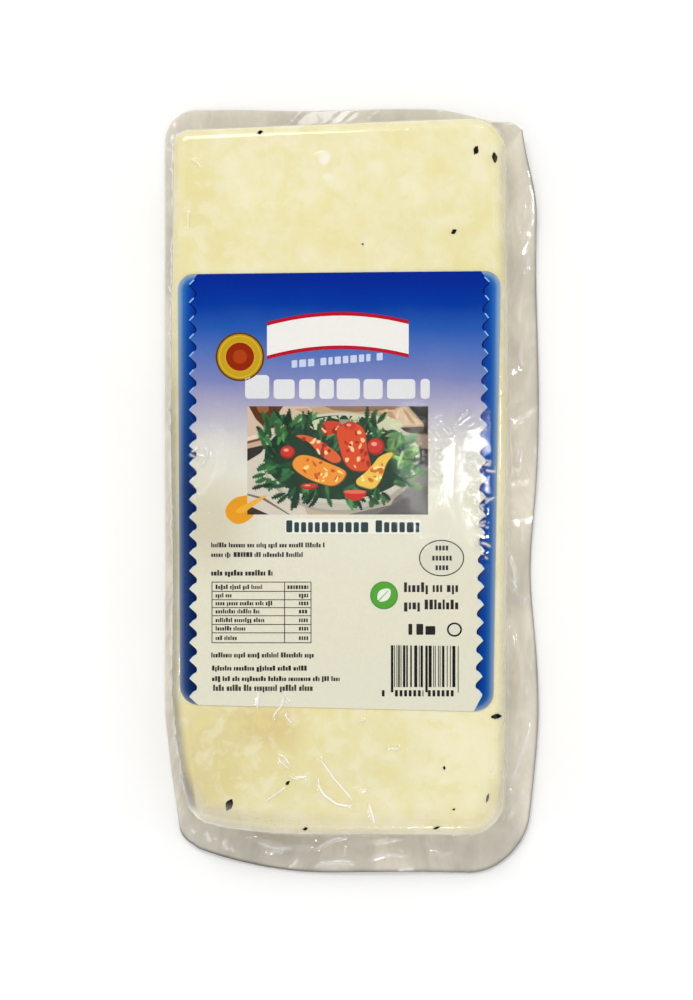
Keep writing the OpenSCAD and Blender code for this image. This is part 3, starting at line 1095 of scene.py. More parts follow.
lines = []
for side in (-1, 1):
    z, per, notch, depth, top, n = zig(side)
    nw = len(WAVE)
    for k in range(n):
        seg = z[k * nw : k * nw + nw + 1]
        # navy: from the notch down round the peak, painted shade on the zigzag's lower flank
        navy = rounded_path(seg[:7], 0.5)
        lines.append((band(navy, 0.3, 0.55), (1, 26, 92) if k < 16 else (10, 22, 62), 2))
        # pale: up the flank that ends in the next notch, painted highlight on the zigzag's upper flank
        pale = np.array([z[(k + 1) * nw - 2] if k + 1 <= n else seg[-2], seg[-1]])
        a, b = np.array(seg[6]), np.array(seg[8])
        lo = a + (b - a) * 0.28
        hi = a + (b - a) * 0.97
        off = np.array([-side * 0.15, 0.1])
        lines.append((band([lo + off, (lo + hi) / 2 + off, hi + off], 0.5, 0.42), (150, 200, 238) if k < 8 else (205, 228, 232), 3))
    # the pale dash above the first notch, painted highlight as well
    a = np.array([notch(top) - side * 1.9, top + 2.0])
    b = np.array([notch(top) - side * 0.2, top + 0.25])
    lines.append((band([a, (a + b) / 2, b], 0.5, 0.42), (150, 200, 238), 3))
label_lines = print_piece("label_lines", lines)

# emblems: a plain banner, a plain disc, a row of blocks
emblems = []


def arch(u0, u1, v_mid, rise, n=25):
    u = np.linspace(u0, u1, n)
    t = (u - u0) / (u1 - u0)
    return np.stack([u, v_mid + rise * 4 * t * (1 - t) + (t - 0.5) * 0.6], 1)


def between(low, high):
    return np.vstack([low, high[::-1]])


_b = [(-29.0, 22.7)]
lo_, hi_ = arch(-29.0, 22.7, 51.6, 3.4), arch(-29.0, 22.7, 65.2, 3.4)
emblems.append((between(lo_, hi_), (190, 20, 42), 1))
lo2, hi2 = lo_ + np.array([0, 1.35]), hi_ - np.array([0, 1.35])
emblems.append((between(lo2, hi2), (243, 240, 236), 2))
# plain disc
emblems.append((ellipse(-38.87, 52.27, 8.9, 8.9, 64), (96, 62, 18), 1))
emblems.append((ellipse(-38.87, 52.27, 8.25, 8.25, 64), (196, 152, 16), 2))
emblems.append((ellipse(-38.87, 52.27, 7.7, 7.7, 64), (222, 186, 60), 3))
emblems.append((ellipse(-38.87, 52.27, 7.3, 7.3, 64), (202, 164, 30), 4))
emblems.append((ellipse(-38.87, 52.27, 5.5, 5.5, 48), (222, 170, 52), 5))
emblems.append((ellipse(-38.87, 52.27, 5.15, 5.15, 48), (150, 42, 10), 6))
emblems.append((ellipse(-38.87, 52.27, 2.6, 2.6, 36), (178, 66, 20), 7))
# headline: a row of plain rounded blocks
heads = [(-37.0, -28.2, 37.0, 45.6), (-26.6, -18.9, 36.9, 44.0), (-17.3, -11.4, 36.9, 44.1), (-9.9, -4.6, 36.9, 44.1),
         (-3.6, 4.9, 36.7, 44.3), (6.2, 13.2, 36.8, 44.1), (14.8, 25.1, 36.9, 44.1), (27.0, 30.4, 36.9, 44.2)]
for a, b, c, d in heads:
    emblems.append((rect(a, c, b, d, 1.3, 6), (229, 229, 232), 1))
# tagline: short pale dashes that climb a little to the right
u = -20.0
r2 = random.Random(17)
while u < 12.6:
    w = r2.uniform(1.5, 2.5)
    if r2.random() < 0.24:
        u += 1.5
    v = 48.2 + (u + 20) * 0.085
    p = rect(u, v, min(u + w, 13.2), v + 2.7, 0.3, 3)
    p[:, 1] += (p[:, 0] - u) * 0.085
    emblems.append((p, (206, 214, 240), 1))
    u += w + 0.75
print_emblems = print_piece("print_emblems", emblems)

# the picture: a bowl of leaves with grilled slices, in flat shapes
PU0, PV0, PU1, PV1 = -36.2, -5.3, 29.8, 34.2


def P(*pts):
    """Picture points, from 0,0 at its head left to 1262,757 at its foot right."""
    return np.array([(PU0 + x * (PU1 - PU0) / 1262, PV1 - y * (PV1 - PV0) / 757) for x, y in pts])


pic = []


def ink(poly, colour, layer):
    c = clip_to(poly, PU0, PV0, PU1, PV1)
    if c is not None:
        pic.append((c, colour, layer))


ink(rect(PU0, PV0, PU1, PV1), (196, 176, 152), 1)
# cloth and boards behind the bowl
ink(P((0, 0), (420, 0), (500, 60), (300, 150), (180, 260), (0, 270)), (214, 190, 168), 2)
ink(P((10, 0), (250, 0), (210, 60), (190, 150), (130, 160), (60, 90)), (92, 52, 28), 3)
ink(P((60, 0), (150, 0), (150, 30), (120, 60), (80, 40)), (150, 98, 58), 4)
ink(P((0, 215), (190, 160), (205, 190), (0, 245)), (232, 212, 196), 3)
ink(P((0, 245), (200, 185), (150, 280), (0, 330)), (122, 74, 52), 3)
ink(P((0, 262), (170, 218), (150, 262), (0, 296)), (204, 172, 150), 4)
ink(P((0, 300), (150, 262), (90, 330), (0, 385)), (44, 42, 38), 4)
ink(P((0, 372), (120, 300), (330, 520), (420, 757), (0, 757)), (214, 205, 190), 3)
ink(P((0, 610), (120, 640), (300, 757), (286, 757), (110, 655), (0, 622)), (120, 108, 96), 4)
ink(P((0, 690), (150, 757), (0, 757)), (60, 52, 46), 4)
ink(P((330, 20), (560, 0), (1130, 0), (1230, 120), (1235, 150), (1080, 150), (940, 90), (700, 60), (420, 60)), (196, 164, 126), 2)
ink(P((540, 0), (1050, 0), (1040, 24), (760, 40), (600, 26)), (150, 116, 84), 3)
ink(P((920, 20), (1100, 10), (1215, 125), (1000, 135)), (216, 190, 156), 3)
ink(P((960, 40), (1010, 36), (1060, 128), (1036, 130)), (188, 154, 116), 4)
ink(P((1080, 24), (1110, 22), (1170, 124), (1150, 126)), (186, 152, 116), 4)
ink(P((1120, 0), (1262, 0), (1262, 150), (1232, 150), (1228, 118)), (40, 42, 36), 3)
ink(P((1030, 150), (1262, 140), (1262, 200), (1150, 190), (1060, 175)), (54, 44, 30), 3)
ink(P((1130, 186), (1262, 196), (1262, 380), (1180, 280)), (150, 128, 112), 3)
ink(P((1180, 280), (1262, 300), (1262, 420), (1210, 400)), (62, 54, 52), 4)
ink(P((1150, 420), (1262, 380), (1262, 757), (700, 757), (1000, 690)), (120, 116, 112), 3)
ink(P((1100, 640), (1262, 560), (1262, 757), (900, 757)), (98, 94, 92), 4)
# the bowl
ink(P(*[(652 + 552 * math.cos(t), 350 + 400 * math.sin(t)) for t in np.linspace(0, math.pi, 26)]), (176, 168, 154), 4)
ink(P(*[(640 + 520 * math.cos(t), 352 + 375 * math.sin(t)) for t in np.linspace(0, math.pi, 26)]), (196, 190, 176), 5)
ink(P(*[(652 + 553 * math.cos(t), 362 + 318 * math.sin(t)) for t in np.linspace(0, 2 * math.pi, 64)]), (205, 202, 184), 6)
ink(P(*[(640 + 520 * math.cos(t), 358 + 294 * math.sin(t)) for t in np.linspace(0, 2 * math.pi, 64)]), (22, 56, 36), 7)
ink(P(*[(760 + 330 * math.cos(t), 130 + 70 * math.sin(t)) for t in np.linspace(0, 2 * math.pi, 40)]), (206, 208, 172), 7)

r3 = random.Random(911)


def frond(x, y, angle, length, width, colour, layer, n=7, seed=0):
    """A leaf with a toothed edge, from its stem at x, y."""
    rr = random.Random(seed)
    left, right = [], []
    for k in range(n + 1):
        t = k / n
        w = width * (math.sin(math.pi * min(1, t * 0.92 + 0.08)) ** 0.8)
        for s, lst in ((1, left), (-1, right)):
            lst.append((t * length, s * w * 0.42))
            if k < n:
                lst.append(((t + 0.75 / n) * length, s * w * rr.uniform(0.85, 1.1)))
    pts = left + [(length * 1.03, 0)] + right[::-1]
    c, s = math.cos(angle), math.sin(angle)
    return P(*[(x + a * c + b * s, y - a * s + b * c) for a, b in pts])


greens = [(16, 62, 38), (28, 84, 48), (44, 104, 58), (66, 126, 66), (12, 48, 34)]
# left, head and right bunches, then the rim of leaves at the front
bunches = [
    ((175, 250), 60, 130, 0.5 * math.pi, 26, (1.0, 2.4), 26),
    ((330, 200), 110, 90, 0.5 * math.pi, 24, (0.7, 2.3), 24),
    ((470, 190), 70, 80, 0.5 * math.pi, 12, (0.8, 2.2), 22),
    ((850, 170), 70, 80, 0.5 * math.pi, 16, (0.9, 2.2), 24),
    ((1040, 300), 90, 90, 0.4, 22, (-0.4, 1.6), 24),
    ((1080, 440), 90, 110, -0.2, 26, (-0.8, 1.3), 26),
    ((220, 470), 110, 90, 3.4, 24, (2.6, 4.2), 26),
    ((400, 590), 140, 50, 4.2, 22, (3.2, 5.0), 24),
    ((860, 600), 170, 45, 5.0, 22, (4.4, 6.0), 24),
    ((620, 560), 160, 70, 4.5, 14, (3.6, 5.6), 22),
    ((560, 300), 120, 70, 1.5, 12, (0.5, 2.6), 22),
]
for (cx, cy), rx, ry, _, n, (a0, a1), w in bunches:
    for i in range(n):
        x = cx + r3.uniform(-rx, rx)
        y = cy + r3.uniform(-ry, ry)
        g = r3.choice(greens)
        k = r3.uniform(0.8, 1.25)
        if cx > 1000 and r3.random() < 0.45:
            g = r3.choice([(96, 146, 70), (126, 166, 92), (74, 132, 66)])
        ink(frond(x, y, r3.uniform(a0, a1), r3.uniform(70, 120), w * r3.uniform(0.7, 1.1), tuple(v * k for v in g), 8, 6, r3.random()), tuple(min(255, v * k) for v in g), 8 + (i % 3) * 0.4)

slices = [
    # outline, base colour, browned patches, cream patches
    (((512, 125), (560, 100), (660, 110), (655, 160), (600, 205), (525, 210)), (206, 62, 30), (150, 30, 18), (246, 198, 150), 9, 7),
    (((317, 205), (390, 196), (480, 225), (560, 275), (640, 335), (668, 385), (612, 408), (560, 380), (500, 335), (452, 275), (412, 240)), (222, 96, 44), (160, 44, 18), (250, 214, 160), 10, 10),
    (((612, 170), (660, 120), (760, 110), (826, 160), (838, 300), (866, 410), (870, 440), (800, 468), (716, 450), (664, 380), (640, 280)), (218, 74, 28), (164, 34, 14), (252, 206, 150), 12, 18),
    (((312, 380), (362, 336), (452, 346), (556, 392), (650, 430), (704, 462), (676, 520), (612, 566), (532, 552), (430, 516), (350, 466), (312, 424)), (238, 150, 48), (206, 84, 26), (252, 222, 132), 13, 20),
    (((752, 518), (812, 476), (872, 416), (922, 346), (1016, 312), (1024, 338), (974, 396), (952, 468), (932, 526), (882, 590), (812, 572), (762, 556)), (240, 196, 78), (214, 110, 38), (250, 234, 160), 14, 15),
]
for outline, base_c, brown, cream, layer, n in slices:
    shape = soft_shape(P(*outline), 2)
    ink(shape, tuple(v * 0.55 for v in base_c), layer - 0.5)
    mid_ = shape.mean(0)
    ink(mid_ + (shape - mid_) * 0.965 + np.array([-0.05, 0.12]), base_c, layer)
    lo_, hi_ = shape.min(0), shape.max(0)
    placed = 0
    for _ in range(400):
        if placed >= n:
            break
        c = np.array([r3.uniform(lo_[0], hi_[0]), r3.uniform(lo_[1], hi_[1])])
        if not in_poly(c[:1], c[1:], mid_ + (shape - mid_) * 0.8)[0]:
            continue
        a, b = r3.uniform(0.4, 1.3), r3.uniform(0.25, 0.8)
        blob = ellipse(c[0], c[1], a, b, 12, r3.uniform(0, 180)) + np.array([[r3.uniform(-0.18, 0.18), r3.uniform(-0.18, 0.18)] for _ in range(12)])
        ink(soft_shape(blob, 1), cream if placed % 2 else brown, layer + 0.4 + 0.02 * placed)
        placed += 1

for cx, cy, a, b, layer in ((282, 320, 52, 46, 11), (897, 282, 60, 60, 11), (718, 142, 50, 36, 11.5), (432, 560, 62, 22, 11)):
    ink(P(*[(cx + a * math.cos(t), cy + b * math.sin(t)) for t in np.linspace(0, 2 * math.pi, 28)]), (168, 30, 22), layer)
    ink(P(*[(cx - 4 + a * 0.84 * math.cos(t), cy - 4 + b * 0.82 * math.sin(t)) for t in np.linspace(0, 2 * math.pi, 28)]), (206, 52, 38), layer + 0.5)
    ink(P(*[(cx - a * 0.2 + a * 0.34 * math.cos(t), cy - b * 0.3 + b * 0.24 * math.sin(t)) for t in np.linspace(0, 2 * math.pi, 16)]), (240, 160, 140), layer + 1)
ink(P(*[(752 + 78 * math.cos(t), 596 + 64 * math.sin(t)) for t in np.linspace(0, math.pi, 22)]), (206, 40, 28), 12)
ink(P(*[(752 + 78 * math.cos(t), 598 + 14 * math.sin(t)) for t in np.linspace(0, 2 * math.pi, 22)]), (236, 104, 84), 12.5)
print_picture = print_piece("print_picture", [(p, c, 1 + (l - 1) * 0.62) for p, c, l in pic])

# small print as plain marks, a table, rings and bars
marks = []
r4 = random.Random(5150)
DARK = (48, 46, 44)


def greek(u0, u1, v_base, x_h, colour=DARK, layer=1, tall=0.3, gap=0.24, words=True, heavy=1.0):
    """A line of small print, as plain upright marks in words."""
    u = u0
    left = r4.randint(3, 9)
    while u < u1 - 0.3:
        w = x_h * r4.uniform(0.34, 0.62) * heavy
        h = x_h * (1.42 if r4.random() < tall else 1.0)
        drop = x_h * 0.32 if r4.random() < 0.1 else 0
        w = min(w, u1 - u)
        marks.append((rect(u, v_base - drop, u + w, v_base + h), colour, layer))
        u += w + gap
        left -= 1
        if words and left <= 0:
            u += x_h * 0.5
            left = r4.randint(3, 9)


# the outlined line under the picture: a pale halo and dark blocks
hl_ = rect(-22.4, -12.4, 27.0, -6.9, 1.2, 5)
marks.append((hl_, (240, 238, 226), 1))
u = -22.0
while u < 26.0:
    w = r4.uniform(1.7, 2.9)
    if abs(u + w / 2 - 9.4) < 1.0:
        u = 10.6
        continue
    big = u < -21 or (10 < u < 13.5)
    marks.append((rect(u, -11.8, min(u + w, 26.6), -7.4 if big else -8.1, 0.5, 4), (36, 62, 66), 2))
    u += w + 0.75
# the plain brush of orange
leaf = soft_shape([(-44.6, -3.2), (-41.0, 1.0), (-36.5, 1.6), (-30.0, 3.0), (-23.4, 4.6), (-28.0, 0.4), (-32.2, -3.8), (-36.4, -8.2), (-40.4, -9.0), (-43.6, -6.8)], 2)
marks.append((leaf, (232, 158, 24), 2))
marks.append((soft_shape([(-41.5, -4.0), (-35.0, -0.5), (-27.5, 2.6), (-33.5, -1.9), (-38.5, -5.4)], 2), (240, 176, 52), 3))

greek(-49.4, -7.7, -17.3, 1.25, tall=0.35)
greek(-49.4, -41.9, -20.8, 1.25)
greek(-41.2, -34.4, -20.8, 1.75, tall=0.0, words=False, heavy=1.1)
greek(-33.6, -15.6, -20.8, 1.25)
greek(-49.4, -27.0, -27.6, 1.45, tall=0.4, heavy=1.15)
greek(-49.4, -11.6, -57.5, 1.3)
greek(-49.1, -14.1, -62.3, 1.3, heavy=1.2)
greek(-49.1, -2.5, -66.1, 1.25, heavy=1.2)
greek(-48.7, -12.0, -69.7, 1.6, colour=(70, 66, 62))
# the table
tu0, tu1, tum = -49.1, -12.96, -22.6
rows = [-29.97, -33.36, -36.43, -39.31, -42.27, -45.44, -48.51, -52.12]
for v in rows:
    marks.append((rect(tu0 - 0.12, v - 0.15, tu1 + 0.12, v + 0.15), (44, 42, 40), 1))
for u_ in (tu0, tum, tu1):
    marks.append((rect(u_ - 0.15, rows[-1], u_ + 0.15, rows[0]), (44, 42, 40), 2))
for (a, b), w in zip(zip(rows[:-1], rows[1:]), (17, 6, 21, 16, 18, 12, 8)):
    base_v = b + (0.85 if a - b < 3.4 else 1.0)
    greek(tu0 + 1.3, tu0 + 1.3 + w, base_v, 1.15, tall=0.3, gap=0.26)
    greek(tu1 - (8.6 if w == 17 else 4.4), tu1 - 1.0, base_v, 1.35, tall=0, words=False, gap=0.3)
# empty oval with three short marks
marks.append((ellipse(34.7, -21.2, 8.25, 6.65, 56), (40, 38, 36), 1))
marks.append((ellipse(34.7, -21.2, 7.85, 6.25, 56), (224, 221, 205), 2))
for v, w in ((-18.4, 2.2), (-22.1, 3.4), (-25.6, 2.2)):
    u = 34.7 - w
    while u < 34.7 + w - 0.4:
        marks.append((rect(u, v, u + 0.85, v + 1.75), (52, 50, 48), 3))
        u += 1.25
# green disc with a plain pale leaf
marks.append((ellipse(13.7, -34.8, 5.1, 5.1, 48), (64, 148, 44), 1))
marks.append((ellipse(13.7, -34.8, 4.7, 4.7, 48), (84, 166, 52), 2))
marks.append((soft_shape([(11.3, -37.2), (11.2, -34.2), (12.8, -32.4), (16.2, -32.2), (16.1, -35.2), (14.4, -37.0)], 2), (236, 240, 226), 3))
marks.append((band([(10.9, -37.6), (13.2, -35.2), (15.2, -33.2)], 0.36, 0.22), (84, 166, 52), 4))
greek(21.0, 40.7, -33.6, 2.5, colour=(40, 38, 38), tall=0.3, gap=0.5, heavy=0.85)
greek(21.0, 42.8, -39.9, 2.5, colour=(40, 38, 38), tall=0.25, gap=0.5, heavy=0.85)
for a, b in ((22.6, 24.0), (25.5, 28.0), (28.8, 32.4)):
    marks.append((rect(a, -49.2, b, -45.2 if a < 26 else -46.0, 0.3, 3), (38, 36, 36), 1))
marks.append((ellipse(39.4, -47.3, 2.75, 2.6, 32), (40, 38, 38), 1))
marks.append((ellipse(39.4, -47.3, 2.1, 1.95, 32), (226, 223, 207), 2))
# the striped block of bars
u = 16.2
while u < 41.0:
    w = r4.choice([0.3, 0.3, 0.6, 0.6, 0.9, 1.15])
    g = r4.choice([0.3, 0.3, 0.55, 0.85])
    w = min(w, 41.2 - u)
    long_bar = u < 17.3 or abs(u - 28.6) < 0.8 or u > 40.0
    marks.append((rect(u, -70.2 if long_bar else -68.3, u + w, -53.0 - (u - 16) * 0.012), (34, 32, 32), 1))
    u += w + g
for a, b in ((12.9, 13.9), (17.7, 28.1), (29.7, 40.0)):
    u = a
    while u < b - 0.3:
        w = min(1.05, b - u)
        marks.append((rect(u, -71.7, u + w, -69.4, 0.15, 3), (44, 42, 40), 1))
        u += w + 0.62
print_marks = print_piece("print_marks", marks)

# ------------------------------------------------------------- dried mint
FLECKS = [
    # u, v, half length, half width, turn
    (-31.6, 134.3, 0.9, 0.7, 20), (47.3, 127.8, 1.35, 0.95, 70), (54.1, 125.2, 1.7, 0.95, 95), (39.2, 98.0, 0.95, 0.8, 30),
    (5.9, 93.4, 0.4, 0.3, 0), (54.7, -79.0, 1.7, 0.95, 5), (-42.8, -111.3, 2.0, 1.25, 62), (-21.5, -103.4, 0.85, 0.55, 40),
    (-15.0, -120.1, 0.8, 0.55, 10), (35.7, -97.8, 0.6, 0.45, 80), (51.5, -108.8, 1.5, 0.45, 75), (39.2, -113.0, 0.45, 0.4, 0),
    (32.9, -119.7, 1.3, 0.4, 20), 
    
    
]
r5 = random.Random(77)


def fleck_mesh(centre, axis_u, axis_v, up, a, b, thick, turn):
    """An irregular, angular scrap of dried leaf."""
    n = 14
    t = np.linspace(0, 2 * math.pi, n, endpoint=False)
    wob = np.array([r5.uniform(0.9, 1.1) for _ in range(n)])
    # between an oval and a lozenge
    lozenge = 1.12 / (np.abs(np.cos(t)) + np.abs(np.sin(t)))
    r = wob * (0.25 + 0.75 * lozenge)
    x, y = a * 1.15 * r * np.cos(t) + 0.25 * b * np.sin(t), b * 1.1 * r * np.sin(t)
    c, s = cosd(turn), sind(turn)
    x, y = x * c - y * s, x * s + y * c
    v, f = [], []
    for k, (sc, z) in enumerate(((1.0, 0.0), (0.72, 0.75), (0.35, 1.0))):
        for i in range(n):
            v.append((x[i] * sc, y[i] * sc, thick * z * (1 + 0.25 * r5.uniform(-1, 1))))
    v.append((0, 0, thick * 0.9))
    for k, (sc, z) in enumerate(((0.7, -0.6),)):
        for i in range(n):
            v.append((x[i] * sc, y[i] * sc, thick * z))
    v.append((0, 0, -thick * 0.7))
    for k in range(2):
        for i in range(n):
            j = (i + 1) % n
            f.append((k * n + i, k * n + j, (k + 1) * n + j, (k + 1) * n + i))
    tip = 3 * n
    for i in range(n):
        f.append((2 * n + i, 2 * n + (i + 1) % n, tip))
    lowr = 3 * n + 1
    for i in range(n):
        f.append((i, lowr + i, lowr + (i + 1) % n, (i + 1) % n))
    low_tip = lowr + n
    for i in range(n):
        f.append((lowr + i, low_tip, lowr + (i + 1) % n))
    v = np.array(v)
    w = np.asarray(centre) + v[:, :1] * axis_u + v[:, 1:2] * axis_v + v[:, 2:] * up
    return w, f


fv, ff, base = [], [], 0
for u, v, a, b, turn in FLECKS:
    c = plan((u, v))
    w, f = fleck_mesh((c[0], c[1], float(top_z(c[0], c[1])) - 0.02), np.array([1, 0, 0]), np.array([0, 1, 0]), np.array([0, 0, 1]), a, b, 0.13, turn)
    fv.append(w)
    ff += [[i + base for i in t] for t in f]
    base += len(w)
# a few on the walls, and on the underside
_wc = Columns(4, [30, 60, 30, 60])
_ring = block_ring(_wc, 0)
_tan = np.roll(_ring, -1, 0) - np.roll(_ring, 1, 0)
_tan /= np.hypot(_tan[:, 0], _tan[:, 1])[:, None]
for k in range(16):
    i = r5.randrange(_wc.n)
    z = r5.uniform(9, 23)
    t = np.array([_tan[i, 0], _tan[i, 1], 0])
    o = np.array([_tan[i, 1], -_tan[i, 0], 0])
    bow = WALL_BOW * math.sin(math.pi * (BLOCK_H - EDGE_R - z) / (BLOCK_H - EDGE_R - 3))
    a = r5.uniform(0.4, 1.5)
    w, f = fleck_mesh(np.array([_ring[i, 0], _ring[i, 1], z]) + o * (bow - 0.12), t, np.array([0, 0, 1]), o, a, a * 0.6, 0.15, r5.uniform(0, 180))
    fv.append(w)
    ff += [[j + base for j in q] for q in f]
    base += len(w)
for k in range(9):
    a = r5.uniform(0.4, 1.5)
    w, f = fleck_mesh((r5.uniform(-50, 50), r5.uniform(-110, 115), 0.36), np.array([1, 0, 0]), np.array([0, -1, 0]), np.array([0, 0, -1]), a, a * 0.6, 0.13, r5.uniform(0, 180))
    fv.append(w)
    ff += [[j + base for j in q] for q in f]
    base += len(w)
mint_flecks = make_object("mint_flecks", np.vstack(fv), ff, True)


# --------------------------------------------------------------- materials
def new_material(name):
    m = bpy.data.materials.new(name)
    m.use_nodes = True
    m.node_tree.nodes.clear()
    return m, m.node_tree.nodes, m.node_tree.links


def ramp_node(nodes, stops, interp="LINEAR"):
    r = nodes.new("ShaderNodeValToRGB")
    r.color_ramp.interpolation = interp
    els = r.color_ramp.elements
    while len(els) < len(stops):
        els.new(0.5)
    for e, (pos, c) in zip(els, stops):
        e.position = pos
        e.color = tuple(srgb(c)) + (1,) if max(c) > 1.001 else tuple(c) + (1,)
    return r


def noise_node(nodes, links, coord, scale, detail=4, rough=0.55, dist=0.0, mapping=None):
    n = nodes.new("ShaderNodeTexNoise")
    n.inputs["Scale"].default_value = scale
    n.inputs["Detail"].default_value = detail
    n.inputs["Roughness"].default_value = rough
    n.inputs["Distortion"].default_value = dist
    if mapping is not None:
        mp = nodes.new("ShaderNodeMapping")
        mp.inputs["Scale"].default_value = mapping
        links.new(coord, mp.inputs["Vector"])
        coord = mp.outputs["Vector"]
    links.new(coord, n.inputs["Vector"])
    return n


def mix_colour(nodes, links, fac, a, b, mode="MIX"):
    m = nodes.new("ShaderNodeMix")
    m.data_type = "RGBA"
    m.blend_type = mode
    if hasattr(fac, "links"):
        links.new(fac, m.inputs[0])
    else:
        m.inputs[0].default_value = fac
    for sock, val in ((m.inputs[6], a), (m.inputs[7], b)):
        if hasattr(val, "links"):
            links.new(val, sock)
        else:
            sock.default_value = tuple(val) + (1,)
    return m.outputs[2]


def math_node(nodes, links, op, a, b=None, clamp=False):
    m = nodes.new("ShaderNodeMath")
    m.operation = op
    m.use_clamp = clamp
    for sock, val in zip(m.inputs, (a, b)):
        if val is None:
            continue
        if hasattr(val, "links"):
            links.new(val, sock)
        else:
            sock.default_value = val
    return m.outputs[0]


def map_range(nodes, links, val, a, b, c=0.0, d=1.0):
    m = nodes.new("ShaderNodeMapRange")
    links.new(val, m.inputs["Value"])
    for key, x in (("From Min", a), ("From Max", b), ("To Min", c), ("To Max", d)):
        m.inputs[key].default_value = x
    return m.outputs["Result"]


def object_xyz(nodes, links):
    tc = nodes.new("ShaderNodeTexCoord")
    sep = nodes.new("ShaderNodeSeparateXYZ")
    links.new(tc.outputs["Object"], sep.inputs[0])
    return tc.outputs["Object"], sep.outputs


def bump_node(nodes, links, height, strength, distance):
    b = nodes.new("ShaderNodeBump")
    b.inputs["Strength"].default_value = strength
    b.inputs["Distance"].default_value = distance
    links.new(height, b.inputs["Height"])
    return b.outputs["Normal"]


# plan position of a point, for the nodes that need one
PLAN_X, PLAN_Y = EYE[0] * MM, EYE[1] * MM


def spot(nodes, links, coord, u, v, ru, rv, soft=0.5, rough=None):
    """1 in an oval patch of the plan, falling softly to 0 round it."""
    mp = nodes.new("ShaderNodeMapping")
    mp.vector_type = "POINT"
    mp.inputs["Location"].default_value = (-(PLAN_X + u * MM) / (ru * MM), -(PLAN_Y + v * MM) / (rv * MM), 0)
    mp.inputs["Scale"].default_value = (1 / (ru * MM), 1 / (rv * MM), 0)
    links.new(coord, mp.inputs["Vector"])
    ln = nodes.new("ShaderNodeVectorMath")
    ln.operation = "LENGTH"
    links.new(mp.outputs["Vector"], ln.inputs[0])
    val = ln.outputs["Value"]
    if rough is not None:
        val = math_node(nodes, links, "ADD", val, rough)
    return map_range(nodes, links, val, 1.0 + soft, 1.0 - soft, 0.0, 1.0)


def cheese_material():
    m, nodes, links = new_material("halloumi")
    out = nodes.new("ShaderNodeOutputMaterial")
    bsdf = nodes.new("ShaderNodeBsdfPrincipled")
    links.new(bsdf.outputs[0], out.inputs["Surface"])
    co, xyz = object_xyz(nodes, links)
    broad = noise_node(nodes, links, co, 26, 3, 0.5, 0.4)
    patch = noise_node(nodes, links, co, 62, 4, 0.6, 0.6)
    fine = noise_node(nodes, links, co, 420, 3, 0.6, 0.2)
    wob = math_node(nodes, links, "MULTIPLY", math_node(nodes, links, "SUBTRACT", patch.outputs["Fac"], 0.5), 1.1)
    base = ramp_node(nodes, [(0.28, CHEESE_DARK), (0.5, CHEESE_MID), (0.7, CHEESE_PALE)])
    links.new(broad.outputs["Fac"], base.inputs[0])
    col = base.outputs[0]
    # whiter curd and yellower drained patches
    white = map_range(nodes, links, patch.outputs["Fac"], 0.52, 0.68, 0.0, 0.6)
    col = mix_colour(nodes, links, white, col, srgb(CHEESE_CURD))
    yellow = map_range(nodes, links, patch.outputs["Fac"], 0.46, 0.3, 0.0, 0.6)
    col = mix_colour(nodes, links, yellow, col, srgb(CHEESE_YELLOW))
    mottle = noise_node(nodes, links, co, 150, 3, 0.55, 0.3)
    white = map_range(nodes, links, mottle.outputs["Fac"], 0.52, 0.63, 0.0, 0.42)
    yellow = map_range(nodes, links, mottle.outputs["Fac"], 0.47, 0.36, 0.0, 0.8)
    # named places: plan centre, radii, colour, how strong
    for u, v, ru, rv, colour, amount, soft in CHEESE_PATCHES:
        f = spot(nodes, links, co, u, v, ru, rv, soft, wob)
        f = math_node(nodes, links, "MULTIPLY", f, amount)
        col = mix_colour(nodes, links, f, col, srgb(colour))
    col = mix_colour(nodes, links, white, col, srgb(CHEESE_CURD))
    col = mix_colour(nodes, links, math_node(nodes, links, "MULTIPLY", yellow, 0.55), col, srgb(CHEESE_YELLOW))
    # small curd grains
    vor = nodes.new("ShaderNodeTexVoronoi")
    vor.inputs["Scale"].default_value = 170
    vor.inputs["Randomness"].default_value = 1.0
    links.new(co, vor.inputs["Vector"])
    curd = map_range(nodes, links, vor.outputs["Distance"], 0.28, 0.1, 0.0, 1.0)
    sel = nodes.new("ShaderNodeSeparateColor")
    links.new(vor.outputs["Color"], sel.inputs[0])
    pick = map_range(nodes, links, sel.outputs[0], 0.86, 0.9, 0.0, 0.3)
    col = mix_colour(nodes, links, math_node(nodes, links, "MULTIPLY", curd, pick), col, srgb(CHEESE_CURD))
    links.new(col, bsdf.inputs["Base Color"])
    r = map_range(nodes, links, fine.outputs["Fac"], 0.3, 0.7, 0.38, 0.55)
    links.new(r, bsdf.inputs["Roughness"])
    bsdf.inputs["Subsurface Weight"].default_value = 0.15
    bsdf.inputs["Subsurface Radius"].default_value = (1.0, 0.78, 0.45)
    bsdf.inputs["Subsurface Scale"].default_value = 0.001
    bsdf.inputs["Specular IOR Level"].default_value = 0.35
    h = math_node(nodes, links, "ADD", math_node(nodes, links, "MULTIPLY", fine.outputs["Fac"], 0.35), patch.outputs["Fac"])
    links.new(bump_node(nodes, links, h, 0.12, 0.0012), bsdf.inputs["Normal"])
    return m


